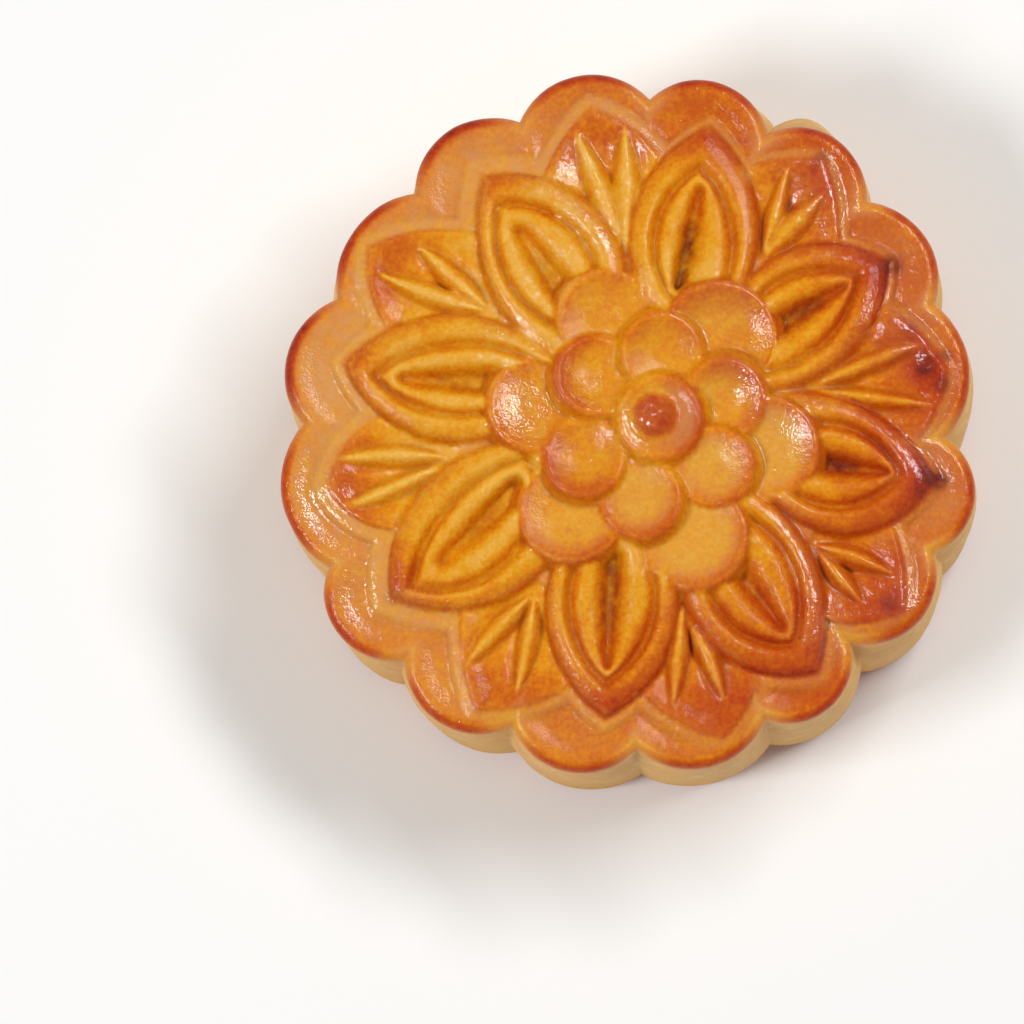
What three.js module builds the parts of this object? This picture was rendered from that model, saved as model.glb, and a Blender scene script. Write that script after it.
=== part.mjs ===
// A whole round mooncake with a moulded top: sixteen scalloped lobes round a flower of two rings of
// petals, eight veined leaves and eight small leaves between them.  One baked solid.
//
// Millimetres, +Z up.  The cake rests on its flat foot at z = 0.  Places on the top are (x, y) from the
// middle of the rim, and heights on the top are above the rim's crest unless a name says otherwise.

import * as THREE from 'three';
import { mergeVertices } from 'three/addons/utils/BufferGeometryUtils.js';
import { SimplifyModifier } from 'three/addons/modifiers/SimplifyModifier.js';

// ---------------------------------------------------------------- driving dimensions

const RIM_HEIGHT = 28.5; // crest of the scalloped rim above the foot
const EDGE_ROUNDING = 1.4; // radius of the rim's outer edge
const BORDER_DROP = 0.5; // the border inside the rim lies this far below the crest
const BORDER_SLOPE = 2.4; // the width over which it drops
const CORE_RADIUS = 33; // the round middle that the lobes stand out from

const WALL_BULGE = 0.2; // the wall swells by this much below the rim
const WALL_SWELL_DEPTH = 9; // and reaches its full width this far down
const FLUTE_FILL = 0.28; // share of each flute that is filled in at full width
const WIDEST_RADIUS = 40.6; // where the fluted wall would stand if it had no flutes
const FOOT_ROUNDING = 2.6;
// one lump of dough below the rim: its direction in degrees, and how far it stands out
const LOOSE_BULGE = { angle: 62, spread: 6, depth: 5, reach: 4, size: 1.9, start: 1.5 };

// The sixteen notches between the lobes, clockwise: angle in degrees, distance from the middle, and how
// far the lobe that follows it bulges past the straight line to the next notch.
const NOTCHES = [
  [110.1, 37.7, 4.1], [87.0, 38.1, 4.1], [65.4, 37.1, 4.0], [43.9, 37.2, 3.4],
  [22.1, 37.2, 3.4], [-2.3, 35.6, 3.9], [-23.2, 37.3, 3.8], [-45.3, 35.1, 3.8],
  [-66.0, 36.7, 3.7], [-89.5, 36.9, 3.8], [-112.0, 37.1, 3.8], [-134.5, 37.3, 4.0],
  [-155.4, 38.2, 4.0], [-180.9, 37.8, 3.8], [-203.9, 37.2, 3.2], [-227.4, 37.0, 3.8],
];

const FLOWER_CENTRE = [2.7, 0.7];
const DOME = { height: 0.9, inner: 12, outer: 36 }; // the ground rises by this much towards the flower

// A leaf is pointed, with a tip and two curved sides that run back to the flower.  A side is the place
// where it meets the flower and how far it bulges past the straight line to the tip.  The eye is the
// pointed loop inside the leaf, and the vein is the groove down its middle, from tip to flower, that widens
// to a gap.
const LEAVES = [
  { tip: [-17.2, 29.0], left: [-14.4, 12.1, 1.9], right: [-0.8, 19.3, 3.8], ledge: 2.2,
    eye: { tip: [-15.3, 25.3], left: [-10.2, 12.2, 2.2], right: [-4.6, 19.1, 2.2] },
    vein: [[-12.9, 22.4], [-7.2, 14.2]], gap: 2.2 },
  { tip: [8.9, 34.8], left: [-0.4, 18.9, 3.2], right: [13.8, 17.7, 2.7], ledge: 0.7,
    eye: { tip: [7.7, 29.3], left: [3.2, 17.2, 2.4], right: [11.0, 16.9, 1.8] },
    vein: [[7.8, 27.0], [5.2, 15.8]], gap: 0.9 },
  { tip: [29.3, 18.6], left: [13.4, 17.1, 3.1], right: [17.3, 3.8, 3.4], ledge: 0.9,
    eye: { tip: [25.3, 16.7], left: [14.8, 14.9, 1.6], right: [16.5, 6.1, 2.1] },
    vein: [[24.3, 15.8], [16.0, 11.0]], gap: 1.2 },
  { tip: [34.4, -6.4], left: [19.0, 4.0, 2.6], right: [17.5, -10.5, 4.2], ledge: 0.7,
    eye: { tip: [30.0, -5.7], left: [20.6, -0.1, 1.9], right: [19.2, -8.5, 2.2] },
    vein: [[28.8, -5.6], [19.8, -4.2]], gap: 1.6 },
  { tip: [21.0, -28.4], left: [16.2, -9.3, 3.0], right: [5.5, -19.3, 4.0], ledge: 1.4,
    eye: { tip: [18.0, -24.9], left: [13.7, -11.0, 2.6], right: [8.8, -19.3, 2.0] },
    vein: [[16.9, -23.2], [10.8, -15.4]], gap: 0.7 },
  { tip: [-3.3, -33.6], left: [5.0, -18.3, 3.0], right: [-9.3, -15.8, 3.1], ledge: 1.3,
    eye: { tip: [-3.1, -29.2], left: [2.5, -17.8, 1.9], right: [-6.8, -16.7, 2.0] },
    vein: [[-3.0, -27.5], [-2.4, -15.4]], gap: 0.8 },
  { tip: [-27.8, -19.6], left: [-9.3, -16.0, 3.2], right: [-16.2, -2.1, 4.1], ledge: 2.3,
    eye: { tip: [-25.1, -18.2], left: [-12.9, -13.7, 2.2], right: [-12.2, -3.9, 2.8] },
    vein: [[-21.6, -15.4], [-13.4, -7.5]], gap: 1.9 },
  { tip: [-33.2, 7.4], left: [-16.1, -1.6, 3.8], right: [-13.7, 11.4, 3.4], ledge: 1.4,
    eye: { tip: [-29.4, 5.8], left: [-17.2, 1.4, 1.7], right: [-14.7, 8.7, 1.8] },
    vein: [[-26.2, 5.5], [-15.6, 4.9]], gap: 1.9 },
];
const LEAF = {
  reach: 27, // a leaf is drawn no further than this from its tip
  foot: 0.2, crest: 2.1, crestAt: 0.58, plumpness: 2.3, // outer band, and where the crest lies across it
  valley: 0.6, // between band and eye
  eyeCrest: 2.0, eyeCrestAt: 0.42, eyePlumpness: 2,
  floor: 0.6, deepening: 0.7, // the gap's floor at the vein's tip, and how much deeper it is at the flower
  veinWidth: 0.08, // the vein's width at its tip, as a share of the gap
};

// A small leaf is a pointed plate between two leaves, with two ribs that fan out from its foot.
// A rib is its tip, its foot, its half width and how far it bows to one side.
const SMALL_LEAVES = [
  { tip: [-4.9, 36.9], left: [-10.4, 28.7, 0.7], right: [4.0, 30.2, 1.2], ledge: 1.3,
    foot: [-0.8, 18.9], ribs: [
      [[-7.0, 34.9], [-1.2, 19.8], 1.5, -0.3],
      [[-0.9, 35.3], [-0.6, 19.8], 1.6, -0.1],
    ] },
  { tip: [22.1, 30.8], left: [12.5, 29.8, 0.5], right: [23.8, 21.0, 0.6], ledge: 0.9,
    foot: [14.5, 18.7], ribs: [
      [[17.9, 30.3], [14.8, 19.2], 1.15, -0.1],
      [[22.1, 26.6], [14.9, 19.0], 1.5, 0.2],
    ] },
  { tip: [36.1, 6.3], left: [28.6, 13.8, 0.8], right: [32.9, -1.6, 0.6], ledge: 0.9,
    foot: [19.0, 4.2], ribs: [
      [[33.7, 9.4], [20.5, 4.3], 1.2, 0.2],
      [[35.0, 2.0], [20.1, 3.8], 1.2, 0.0],
    ] },
  { tip: [31.0, -21.5], left: [30.0, -12.3, 0.5], right: [21.7, -22.7, 0.8], ledge: 1.2,
    foot: [19.8, -13.0], ribs: [
      [[29.7, -17.3], [20.4, -13.8], 1.25, 0.3],
      [[26.1, -20.7], [20.8, -14.4], 1.15, 0.0],
    ] },
  { tip: [10.3, -35.9], left: [14.7, -28.3, 0.6], right: [1.1, -31.2, 0.8], ledge: 1.2,
    foot: [5.7, -19.8], ribs: [
      [[10.4, -32.0], [5.9, -20.5], 1.2, 0.2],
      [[4.4, -32.6], [5.6, -20.5], 1.2, 0.0],
    ] },
  { tip: [-18.1, -32.7], left: [-7.9, -30.4, 0.8], right: [-19.9, -21.7, 0.7], ledge: 1.2,
    foot: [-10.3, -17.7], ribs: [
      [[-13.4, -30.9], [-11.2, -19.6], 1.25, 0.2],
      [[-19.4, -27.8], [-11.6, -19.4], 1.3, -0.2],
    ] },
  { tip: [-35.1, -7.1], left: [-27.9, -12.0, 1.1], right: [-29.3, 1.3, 1.3], ledge: 1.6,
    foot: [-19.1, -3.2], ribs: [
      [[-33.6, -9.4], [-21.5, -4.2], 1.05, 0.3],
      [[-34.3, -3.7], [-20.9, -3.5], 1.25, -0.3],
    ] },
  { tip: [-30.6, 20.9], left: [-28.1, 10.9, 1.0], right: [-19.1, 22.7, 1.0], ledge: 1.3,
    foot: [-14.5, 13.0], ribs: [
      [[-29.7, 18.0], [-16.4, 13.2], 1.35, 0.4],
      [[-24.8, 21.2], [-16.4, 13.5], 1.3, 0.1],
    ] },
];
const SMALL_LEAF = {
  halfWidth: 9.5, // no part of the plate is further than this from the line from foot to tip
  start: 0.02, // the plate begins at this share of the way along that line
  freeFrom: 0.55, // and its rounded edge stands free of the border from this share on
  height: 1.25, edge: 0.8, // the plate, and the width of its rounded edge
  dish: 0.5, dishFrom: 0.6, dishTo: 3.2, // its middle is lower by this
  sink: 0.5, sinkFrom: 0.05, sinkTo: 0.7, // and it sinks by this towards its foot
  rib: 1.2, ribRise: 0.45, riseTo: 0.4, // a rib's crest at its foot, and its rise from there
  ribFall: 0.35, fallFrom: 0.7, // and its fall to the tip
  ribRoundness: 1.3, // its drop at the sides
  narrowest: 0.25, // a rib's rounding narrows towards its ends to this share of its half width
  moat: 0.8, moatWidth: 0.6, moatStart: 0.3, // the groove round each rib, full from this share along it
};
const LEDGE = { height: 0.75, edge: 1.1 }; // the low step that shows outside both kinds of leaf

// The petals are round dishes, [x, y, radius, depth of the dish].  Each tips sideways, so its
// counter-clockwise edge is high and its clockwise edge dives under the next one.
const OUTER_PETALS = {
  places: [
    [-2.9, 12.1, 6.6, 0.5], [9.9, 9.5, 7.6, 0.9], [15.3, -2.9, 6.7, 0.6],
    [6.8, -12.8, 7.1, 0.3], [-7.0, -9.7, 7.1, 0.5], [-10.9, 2.3, 6.5, 0.6],
  ],
  foot: 0.3, crest: 2.3, tilt: 0.7,
};
const INNER_PETALS = {
  places: [
    [3.4, 8.1, 5.5, 0.7], [10.4, 2.7, 5.6, 1.1], [9.2, -5.1, 5.5, 0.35],
    [0.9, -8.6, 5.6, 0.4], [-5.5, -3.8, 5.6, 0.9], [-4.2, 5.5, 5.6, 0.9],
  ],
  foot: 0.9, crest: 2.3, tilt: 0.75,
};
const PETAL = {
  edge: 1.6, edgePower: 1.9, // the rounded rim's width, and how square it is
  roll: 0.35, rollFrom: 0.9, rollTo: 2, // the rim stands this much above the dish's edge
  dishFrom: 1.2, dishTo: 4.6, flare: 0.4,
};
const CUP = {
  centre: [3.1, 0.5], radius: 5.7, foot: 1.9, crest: 1.9, edge: 1.4,
  hollow: 0.6, from: 1.1, to: 2.6, // how deep it is, and where that begins and ends inside its edge
  cover: 1.2, // it hides what is below it from here inwards
};
const BUD = {
  centre: [2.3, 0.8], radius: 4.6, foot: 2.7, height: 1.6,
  flat: 0.1, // share of its radius that is flat on top
  // each lump's x, y, reach and lift
  lumps: [[1.5, 2.0, 0.8, 0.3], [3.2, 1.0, 0.9, 0.35], [2.4, -0.6, 0.8, 0.3], [1.0, 0.2, 0.7, 0.25]],
};

// ---------------------------------------------------------------- fineness of the faceted solid

const SIDE = 192; // squares along each side of the grid that is wrapped over the top
const ROUND_RADIUS = 36; // the grid's rings are circles until they near the rim,
const ROUND_POWER = 6; // and the higher this is, the nearer
const EDGE_RINGS = 4; // rings round the rim's rounded edge
const WALL_RINGS = 16;
const FOOT_RINGS = 3;
const TRIANGLES = 11500;

const OUTSIDE = -99; // a height or distance that never wins

// ---------------------------------------------------------------- plane geometry

const clamp = (value, low, high) => Math.min(high, Math.max(low, value));

const smoothStep = (from, to, value) => {
  const t = clamp((value - from) / (to - from), 0, 1);
  return t * t * (3 - 2 * t);
};

// 0 outside, rising in a quarter round to 1 over the width of an edge.
const roundUp = (distance, width) => Math.sqrt(1 - (1 - clamp(distance / width, 0, 1)) ** 2);

const RIDGE_STEEPNESS = 2.6; // the higher, the steeper a ridge rises from its first foot
const SHOULDER = { edgeShare: 0.68, steepness: 6 }; // the share of a shoulder's rise at its steep edge

// Height over a ridge, at a share of the way across it, from its height at one foot to the other's.
const ridge = (across, crestAt, start, crest, end, plumpness) => {
  if (across < crestAt) return start + (crest - start) * (1 - (1 - across / crestAt) ** RIDGE_STEEPNESS);
  return end + (crest - end) * (1 - ((across - crestAt) / (1 - crestAt)) ** plumpness);
};

// Like a ridge, but with a steep edge and then a broad back that rises gently to the crest.
const shoulder = (across, crestAt, start, crest, end, plumpness) => {
  if (across >= crestAt) return ridge(across, crestAt, start, crest, end, plumpness);
  const up = across / crestAt;
  const atEdge = 1 - (1 - up) ** SHOULDER.steepness;
  return start + (crest - start) * (SHOULDER.edgeShare * atEdge + (1 - SHOULDER.edgeShare) * up);
};

const fromPolar = (degrees, radius) => {
  const angle = THREE.MathUtils.degToRad(degrees);
  return [radius * Math.cos(angle), radius * Math.sin(angle)];
};

// The circle through two points whose arc bulges to the left of the way from the first to the second.
const arcCircle = ([ax, ay], [bx, by], bulge) => {
  const chord = Math.hypot(bx - ax, by - ay);
  const radius = (chord * chord / 4 + bulge * bulge) / (2 * bulge);
  const offset = (bulge - radius) / chord;
  return { x: (ax + bx) / 2 - (by - ay) * offset, y: (ay + by) / 2 + (bx - ax) * offset, radius };
};

const insideCircle = (circle, x, y) => circle.radius - Math.hypot(x - circle.x, y - circle.y);

// A pointed shape between two arcs that meet at its tip.
const pointedShape = ({ tip, left, right }) => [
  arcCircle(left, tip, left[2]),
  arcCircle(tip, right, right[2]),
];

const insideShape = (arcs, x, y) => Math.min(insideCircle(arcs[0], x, y), insideCircle(arcs[1], x, y));

// Distance from a straight stretch, and how far along it the nearest point is, from 0 to 1.
const nearStretch = ([ax, ay], [bx, by], x, y) => {
  const lengthSquared = (bx - ax) ** 2 + (by - ay) ** 2;
  const along = clamp(((x - ax) * (bx - ax) + (y - ay) * (by - ay)) / lengthSquared, 0, 1);
  return { distance: Math.hypot(x - ax - along * (bx - ax), y - ay - along * (by - ay)), along };
};

// ---------------------------------------------------------------- rim

const lobes = NOTCHES.map(([angle, radius, bulge], i) => {
  const [nextAngle, nextRadius] = NOTCHES[(i + 1) % NOTCHES.length];
  return arcCircle(fromPolar(angle, radius), fromPolar(nextAngle, nextRadius), bulge);
});

const insideRim = (x, y) => {
  const fromLobes = lobes.map((lobe) => insideCircle(lobe, x, y));
  return Math.max(CORE_RADIUS - Math.hypot(x, y), ...fromLobes);
};

// How far the scalloped outline, drawn in by an inset, is from the middle in one direction.
const rimRadius = (angle, inset) => {
  let farthest = CORE_RADIUS - inset;
  for (const lobe of lobes) {
    const ahead = lobe.x * Math.cos(angle) + lobe.y * Math.sin(angle);
    const aside = lobe.x * Math.sin(angle) - lobe.y * Math.cos(angle);
    const half = (lobe.radius - inset) ** 2 - aside * aside;
    if (half > 0) farthest = Math.max(farthest, ahead + Math.sqrt(half));
  }
  return farthest;
};

const borderHeight = (inside) => {
  const edge = EDGE_ROUNDING * (roundUp(inside, EDGE_ROUNDING) - 1);
  return edge - BORDER_DROP * smoothStep(EDGE_ROUNDING, EDGE_ROUNDING + BORDER_SLOPE, inside);
};

// ---------------------------------------------------------------- leaves

const leaves = LEAVES.map((leaf) => ({
  ...leaf,
  shape: pointedShape(leaf),
  eyeShape: pointedShape(leaf.eye),
}));

const smallLeaves = SMALL_LEAVES.map((leaf) => ({
  ...leaf,
  shape: pointedShape(leaf),
  ribs: leaf.ribs.map(([tip, foot, halfWidth, bow]) => ({
    tip,
    foot,
    halfWidth,
    shape: [arcCircle(foot, tip, halfWidth + bow), arcCircle(tip, foot, halfWidth - bow)],
  })),
}));

const groundHeight = (x, y) => {
  const fromFlower = Math.hypot(x - FLOWER_CENTRE[0], y - FLOWER_CENTRE[1]);
  return DOME.height * (1 - smoothStep(DOME.inner, DOME.outer, fromFlower)) - BORDER_DROP;
};

// The outer band of a leaf is a rounded ridge, and the eye is a ridge on each side of the vein's gap.
const leafHeight = (leaf, x, y) => {
  const inside = insideShape(leaf.shape, x, y);
  if (inside <= 0 || Math.hypot(x - leaf.tip[0], y - leaf.tip[1]) > LEAF.reach) return OUTSIDE;
  const insideEye = insideShape(leaf.eyeShape, x, y);
  if (insideEye <= 0) {
    const acrossBand = inside / (inside - insideEye);
    return shoulder(acrossBand, LEAF.crestAt, LEAF.foot, LEAF.crest, LEAF.valley, LEAF.plumpness);
  }
  const { distance, along } = nearStretch(leaf.vein[0], leaf.vein[1], x, y);
  const halfGap = (leaf.gap / 2) * (LEAF.veinWidth + (1 - LEAF.veinWidth) * along);
  const across = insideEye / (insideEye + Math.max(distance - halfGap, 0));
  const floor = LEAF.floor - LEAF.deepening * along;
  return ridge(across, LEAF.eyeCrestAt, LEAF.valley, LEAF.eyeCrest, floor, LEAF.eyePlumpness);
};

const ledgeHeight = (leaf, x, y) => {
  const inside = insideShape(leaf.shape, x, y) + leaf.ledge;
  return inside > 0 ? LEDGE.height * roundUp(inside, LEDGE.edge) : OUTSIDE;
};

const ribHeight = (rib, x, y) => {
  const inside = insideShape(rib.shape, x, y);
  if (inside <= 0) return OUTSIDE;
  const { along } = nearStretch(rib.foot, rib.tip, x, y);
  const width = rib.halfWidth * Math.max(4 * along * (1 - along), SMALL_LEAF.narrowest);
  const crest = SMALL_LEAF.rib + SMALL_LEAF.ribRise * smoothStep(0, SMALL_LEAF.riseTo, along)
    - SMALL_LEAF.ribFall * smoothStep(SMALL_LEAF.fallFrom, 1, along);
  return crest - SMALL_LEAF.ribRoundness * (1 - clamp(inside / width, 0, 1)) ** 2;
};

const plateHeight = (leaf, x, y) => {
  const inside = insideShape(leaf.shape, x, y);
  const { distance, along } = nearStretch(leaf.foot, leaf.tip, x, y);
  if (inside <= 0 || distance > SMALL_LEAF.halfWidth || along < SMALL_LEAF.start) return OUTSIDE;
  let height = SMALL_LEAF.height * roundUp(inside, SMALL_LEAF.edge);
  height -= SMALL_LEAF.dish * smoothStep(SMALL_LEAF.dishFrom, SMALL_LEAF.dishTo, inside);
  height -= SMALL_LEAF.sink * (1 - smoothStep(SMALL_LEAF.sinkFrom, SMALL_LEAF.sinkTo, along));
  for (const rib of leaf.ribs) {
    const outside = Math.max(-insideShape(rib.shape, x, y), 0);
    const alongRib = nearStretch(rib.foot, rib.tip, x, y).along;
    const fading = smoothStep(0, SMALL_LEAF.moatStart, alongRib) * (1 - alongRib ** 2);
    height -= SMALL_LEAF.moat * Math.exp(-((outside / SMALL_LEAF.moatWidth) ** 2)) * fading;
  }
  return height;
};

// ---------------------------------------------------------------- flower

// Inside its rounded rim a petal hides what is below it.
const addPetals = (ring, x, y, below) => {
  let top = OUTSIDE;
  let deepest = OUTSIDE;
  for (const [cx, cy, radius, dish] of ring.places) {
    const inside = radius - Math.hypot(x - cx, y - cy);
    deepest = Math.max(deepest, inside);
    if (inside <= 0) continue;
    const away = Math.hypot(cx - FLOWER_CENTRE[0], cy - FLOWER_CENTRE[1]);
    const outX = (cx - FLOWER_CENTRE[0]) / away;
    const outY = (cy - FLOWER_CENTRE[1]) / away;
    const outward = ((x - cx) * outX + (y - cy) * outY) / radius;
    const sideways = ((y - cy) * outX - (x - cx) * outY) / radius;
    const rim = 1 - (1 - clamp(inside / PETAL.edge, 0, 1)) ** PETAL.edgePower;
    const roll = PETAL.roll * smoothStep(PETAL.rollFrom, PETAL.rollTo, inside);
    const hollow = roll + dish * smoothStep(PETAL.dishFrom, PETAL.dishTo, inside);
    const leaning = ring.tilt * sideways + PETAL.flare * outward;
    top = Math.max(top, ring.foot + ring.crest * rim - hollow + leaning);
  }
  if (deepest > PETAL.edge) return top;
  return Math.max(below, top);
};

const addCupAndBud = (x, y, below) => {
  const inside = CUP.radius - Math.hypot(x - CUP.centre[0], y - CUP.centre[1]);
  if (inside <= 0) return below;
  const rim = 1 - (1 - clamp(inside / CUP.edge, 0, 1)) ** PETAL.edgePower;
  const cup = CUP.foot + CUP.crest * rim - CUP.hollow * smoothStep(CUP.from, CUP.to, inside);
  const height = inside > CUP.cover ? cup : Math.max(cup, below);
  const fromBud = Math.hypot(x - BUD.centre[0], y - BUD.centre[1]) / BUD.radius;
  if (fromBud >= 1) return height;
  let bud = BUD.foot + BUD.height * (1 - smoothStep(BUD.flat, 1, fromBud));
  for (const [lumpX, lumpY, reach, lift] of BUD.lumps) {
    bud += lift * Math.exp(-((x - lumpX) ** 2 + (y - lumpY) ** 2) / reach ** 2);
  }
  return Math.max(height, bud);
};

// ---------------------------------------------------------------- the whole top

const topHeight = (x, y) => {
  const ground = groundHeight(x, y);
  let height = borderHeight(insideRim(x, y));
  for (const leaf of [...smallLeaves, ...leaves]) height = Math.max(height, ground + ledgeHeight(leaf, x, y));
  for (const leaf of smallLeaves) {
    const plate = plateHeight(leaf, x, y);
    if (plate === OUTSIDE) continue;
    const { along } = nearStretch(leaf.foot, leaf.tip, x, y);
    const nearEdge = insideShape(leaf.shape, x, y) < SMALL_LEAF.edge;
    const free = nearEdge && along > SMALL_LEAF.freeFrom;
    height = free ? Math.max(height, ground + plate) : ground + plate;
  }
  for (const leaf of smallLeaves) {
    for (const rib of leaf.ribs) height = Math.max(height, ground + ribHeight(rib, x, y));
  }
  const highestLeaf = Math.max(...leaves.map((leaf) => leafHeight(leaf, x, y)));
  if (highestLeaf > OUTSIDE) height = ground + highestLeaf;
  height = addPetals(OUTER_PETALS, x, y, height);
  height = addPetals(INNER_PETALS, x, y, height);
  return RIM_HEIGHT + addCupAndBud(x, y, height);
};

// ---------------------------------------------------------------- wall

// The wall at one direction and depth below the rim: flutes under the lobes that fill in further down.
const wallRadius = (angle, depth) => {
  const rim = rimRadius(angle, 0);
  const swell = smoothStep(0, WALL_SWELL_DEPTH, depth);
  const turn = THREE.MathUtils.radToDeg(angle) - LOOSE_BULGE.angle;
  const offAngle = (((turn + 540) % 360) - 180) / LOOSE_BULGE.spread;
  const offDepth = (depth - LOOSE_BULGE.depth) / LOOSE_BULGE.reach;
  const starting = smoothStep(0, LOOSE_BULGE.start, depth);
  const lump = LOOSE_BULGE.size * Math.exp(-(offAngle ** 2) - offDepth ** 2) * starting;
  return rim + swell * (FLUTE_FILL * (WIDEST_RADIUS - rim) + WALL_BULGE) + lump;
};

// ---------------------------------------------------------------- mesh

// Directions round the rim: the same number of steps between each pair of notches.
const directionAt = (turn) => {
  const place = ((turn % 1) + 1) % 1 * NOTCHES.length;
  const i = Math.floor(place) % NOTCHES.length;
  const from = NOTCHES[i][0];
  const to = i + 1 < NOTCHES.length ? NOTCHES[i + 1][0] : NOTCHES[0][0] - 360;
  return THREE.MathUtils.degToRad(from + (to - from) * (place - Math.floor(place)));
};

// A square grid wrapped onto the round top, so that its squares stay about the same size all over:
// concentric squares become concentric rings, round in the middle and scalloped at the rim.
const topPlace = (column, row) => {
  const u = (2 * column) / SIDE - 1;
  const v = (2 * row) / SIDE - 1;
  const out = Math.max(Math.abs(u), Math.abs(v));
  if (out === 0) return [0, 0];
  let quarter;
  if (v === -out && u < out) quarter = (u / out + 1) / 2;
  else if (u === out && v < out) quarter = 1 + (v / out + 1) / 2;
  else if (v === out && u > -out) quarter = 2 + (1 - u / out) / 2;
  else quarter = 3 + (1 - v / out) / 2;
  const angle = directionAt(-quarter / 4);
  const radius = out * (ROUND_RADIUS + (rimRadius(angle, EDGE_ROUNDING) - ROUND_RADIUS) * out ** ROUND_POWER);
  return [radius * Math.cos(angle), radius * Math.sin(angle)];
};

// Baking softens the moulding: each height inside the rim is averaged with its neighbours'.
const softened = (heights) => heights.map((height, index) => {
  const row = Math.floor(index / (SIDE + 1));
  const column = index % (SIDE + 1);
  if (row === 0 || row === SIDE || column === 0 || column === SIDE) return height;
  let sum = 0;
  for (let down = -1; down <= 1; down += 1) {
    for (let across = -1; across <= 1; across += 1) {
      const weight = (2 - Math.abs(down)) * (2 - Math.abs(across));
      sum += weight * heights[index + down * (SIDE + 1) + across];
    }
  }
  return sum / 16;
});

const topPoints = () => {
  const places = [];
  for (let row = 0; row <= SIDE; row += 1) {
    for (let column = 0; column <= SIDE; column += 1) places.push(topPlace(column, row));
  }
  const heights = softened(places.map(([x, y]) => topHeight(x, y)));
  return places.flatMap(([x, y], i) => [x, y, heights[i]]);
};

// The closed rings below the top: round the rim's edge, down the wall and under the foot.
const ringPoints = (steps) => {
  const rings = [];
  for (let k = 1; k <= EDGE_RINGS; k += 1) {
    const tilt = (k / EDGE_RINGS) * (Math.PI / 2);
    const inset = EDGE_ROUNDING * (1 - Math.sin(tilt));
    const z = RIM_HEIGHT - EDGE_ROUNDING * (1 - Math.cos(tilt));
    rings.push(steps.map((angle) => [rimRadius(angle, inset), angle, z]));
  }
  const wallTop = RIM_HEIGHT - EDGE_ROUNDING;
  for (let k = 1; k <= WALL_RINGS; k += 1) {
    const z = wallTop + (FOOT_ROUNDING - wallTop) * (k / WALL_RINGS);
    rings.push(steps.map((angle) => [wallRadius(angle, wallTop - z), angle, z]));
  }
  for (let k = 1; k <= FOOT_RINGS; k += 1) {
    const tilt = (k / FOOT_RINGS) * (Math.PI / 2);
    const inset = FOOT_ROUNDING * (1 - Math.cos(tilt));
    const z = FOOT_ROUNDING * (1 - Math.sin(tilt));
    rings.push(steps.map((angle) => [wallRadius(angle, wallTop - z) - inset, angle, z]));
  }
  const toPoint = ([radius, angle, z]) => [radius * Math.cos(angle), radius * Math.sin(angle), z];
  return rings.map((ring) => ring.map(toPoint));
};

const cakeGeometry = () => {
  const positions = topPoints();
  const triangles = [];
  const gridIndex = (column, row) => row * (SIDE + 1) + column;
  for (let row = 0; row < SIDE; row += 1) {
    for (let column = 0; column < SIDE; column += 1) {
      const a = gridIndex(column, row);
      const b = gridIndex(column + 1, row);
      const c = gridIndex(column + 1, row + 1);
      const d = gridIndex(column, row + 1);
      triangles.push(a, b, c, a, c, d);
    }
  }
  const border = [];
  for (let i = 0; i < SIDE; i += 1) border.push(gridIndex(i, 0));
  for (let i = 0; i < SIDE; i += 1) border.push(gridIndex(SIDE, i));
  for (let i = 0; i < SIDE; i += 1) border.push(gridIndex(SIDE - i, SIDE));
  for (let i = 0; i < SIDE; i += 1) border.push(gridIndex(0, SIDE - i));
  const steps = border.map((unused, i) => directionAt(-i / border.length));
  let above = border;
  for (const ring of ringPoints(steps)) {
    const first = positions.length / 3;
    positions.push(...ring.flat());
    const below = ring.map((unused, i) => first + i);
    for (let i = 0; i < below.length; i += 1) {
      const next = (i + 1) % below.length;
      triangles.push(above[i], below[i], below[next], above[i], below[next], above[next]);
    }
    above = below;
  }
  const middle = positions.length / 3;
  positions.push(0, 0, 0);
  for (let i = 0; i < above.length; i += 1) triangles.push(above[i], middle, above[(i + 1) % above.length]);
  const geometry = new THREE.BufferGeometry();
  geometry.setAttribute('position', new THREE.Float32BufferAttribute(positions, 3));
  geometry.setIndex(triangles);
  return mergeVertices(geometry, 1e-4);
};

// The fine grid is thinned to the number of triangles wanted, with most kept along crests and grooves.
const thinned = async (geometry) => {
  const spare = geometry.getIndex().count / 3 - TRIANGLES;
  const vertices = geometry.getAttribute('position').count;
  return new SimplifyModifier().modify(geometry, Math.round((vertices * spare) / (spare + TRIANGLES)));
};

// The origin is the middle of the cake's outline, on the plane that it rests on.
const centred = (geometry) => {
  geometry.computeBoundingBox();
  const middle = geometry.boundingBox.getCenter(new THREE.Vector3());
  return geometry.translate(-middle.x, -middle.y, -geometry.boundingBox.min.z);
};

const crust = new THREE.MeshStandardMaterial({ name: 'baked_crust', color: 0xd98a33, roughness: 0.35 });
const mooncake = new THREE.Mesh(centred(await thinned(cakeGeometry())), crust);
mooncake.name = 'mooncake';

const group = new THREE.Group();
group.add(mooncake);

export default group;
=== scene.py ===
"""A whole round mooncake with a moulded top, glazed with egg and baked golden, on a pale floor.

Sizes in this script are millimetres until the mesh is made.  Places on the top are (x, y) from the middle of
the scalloped rim, and heights on the top are above the rim's crest unless a name says otherwise.
"""
import math
from types import SimpleNamespace as Values

import bpy
import numpy as np
from mathutils import Matrix, Vector


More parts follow.
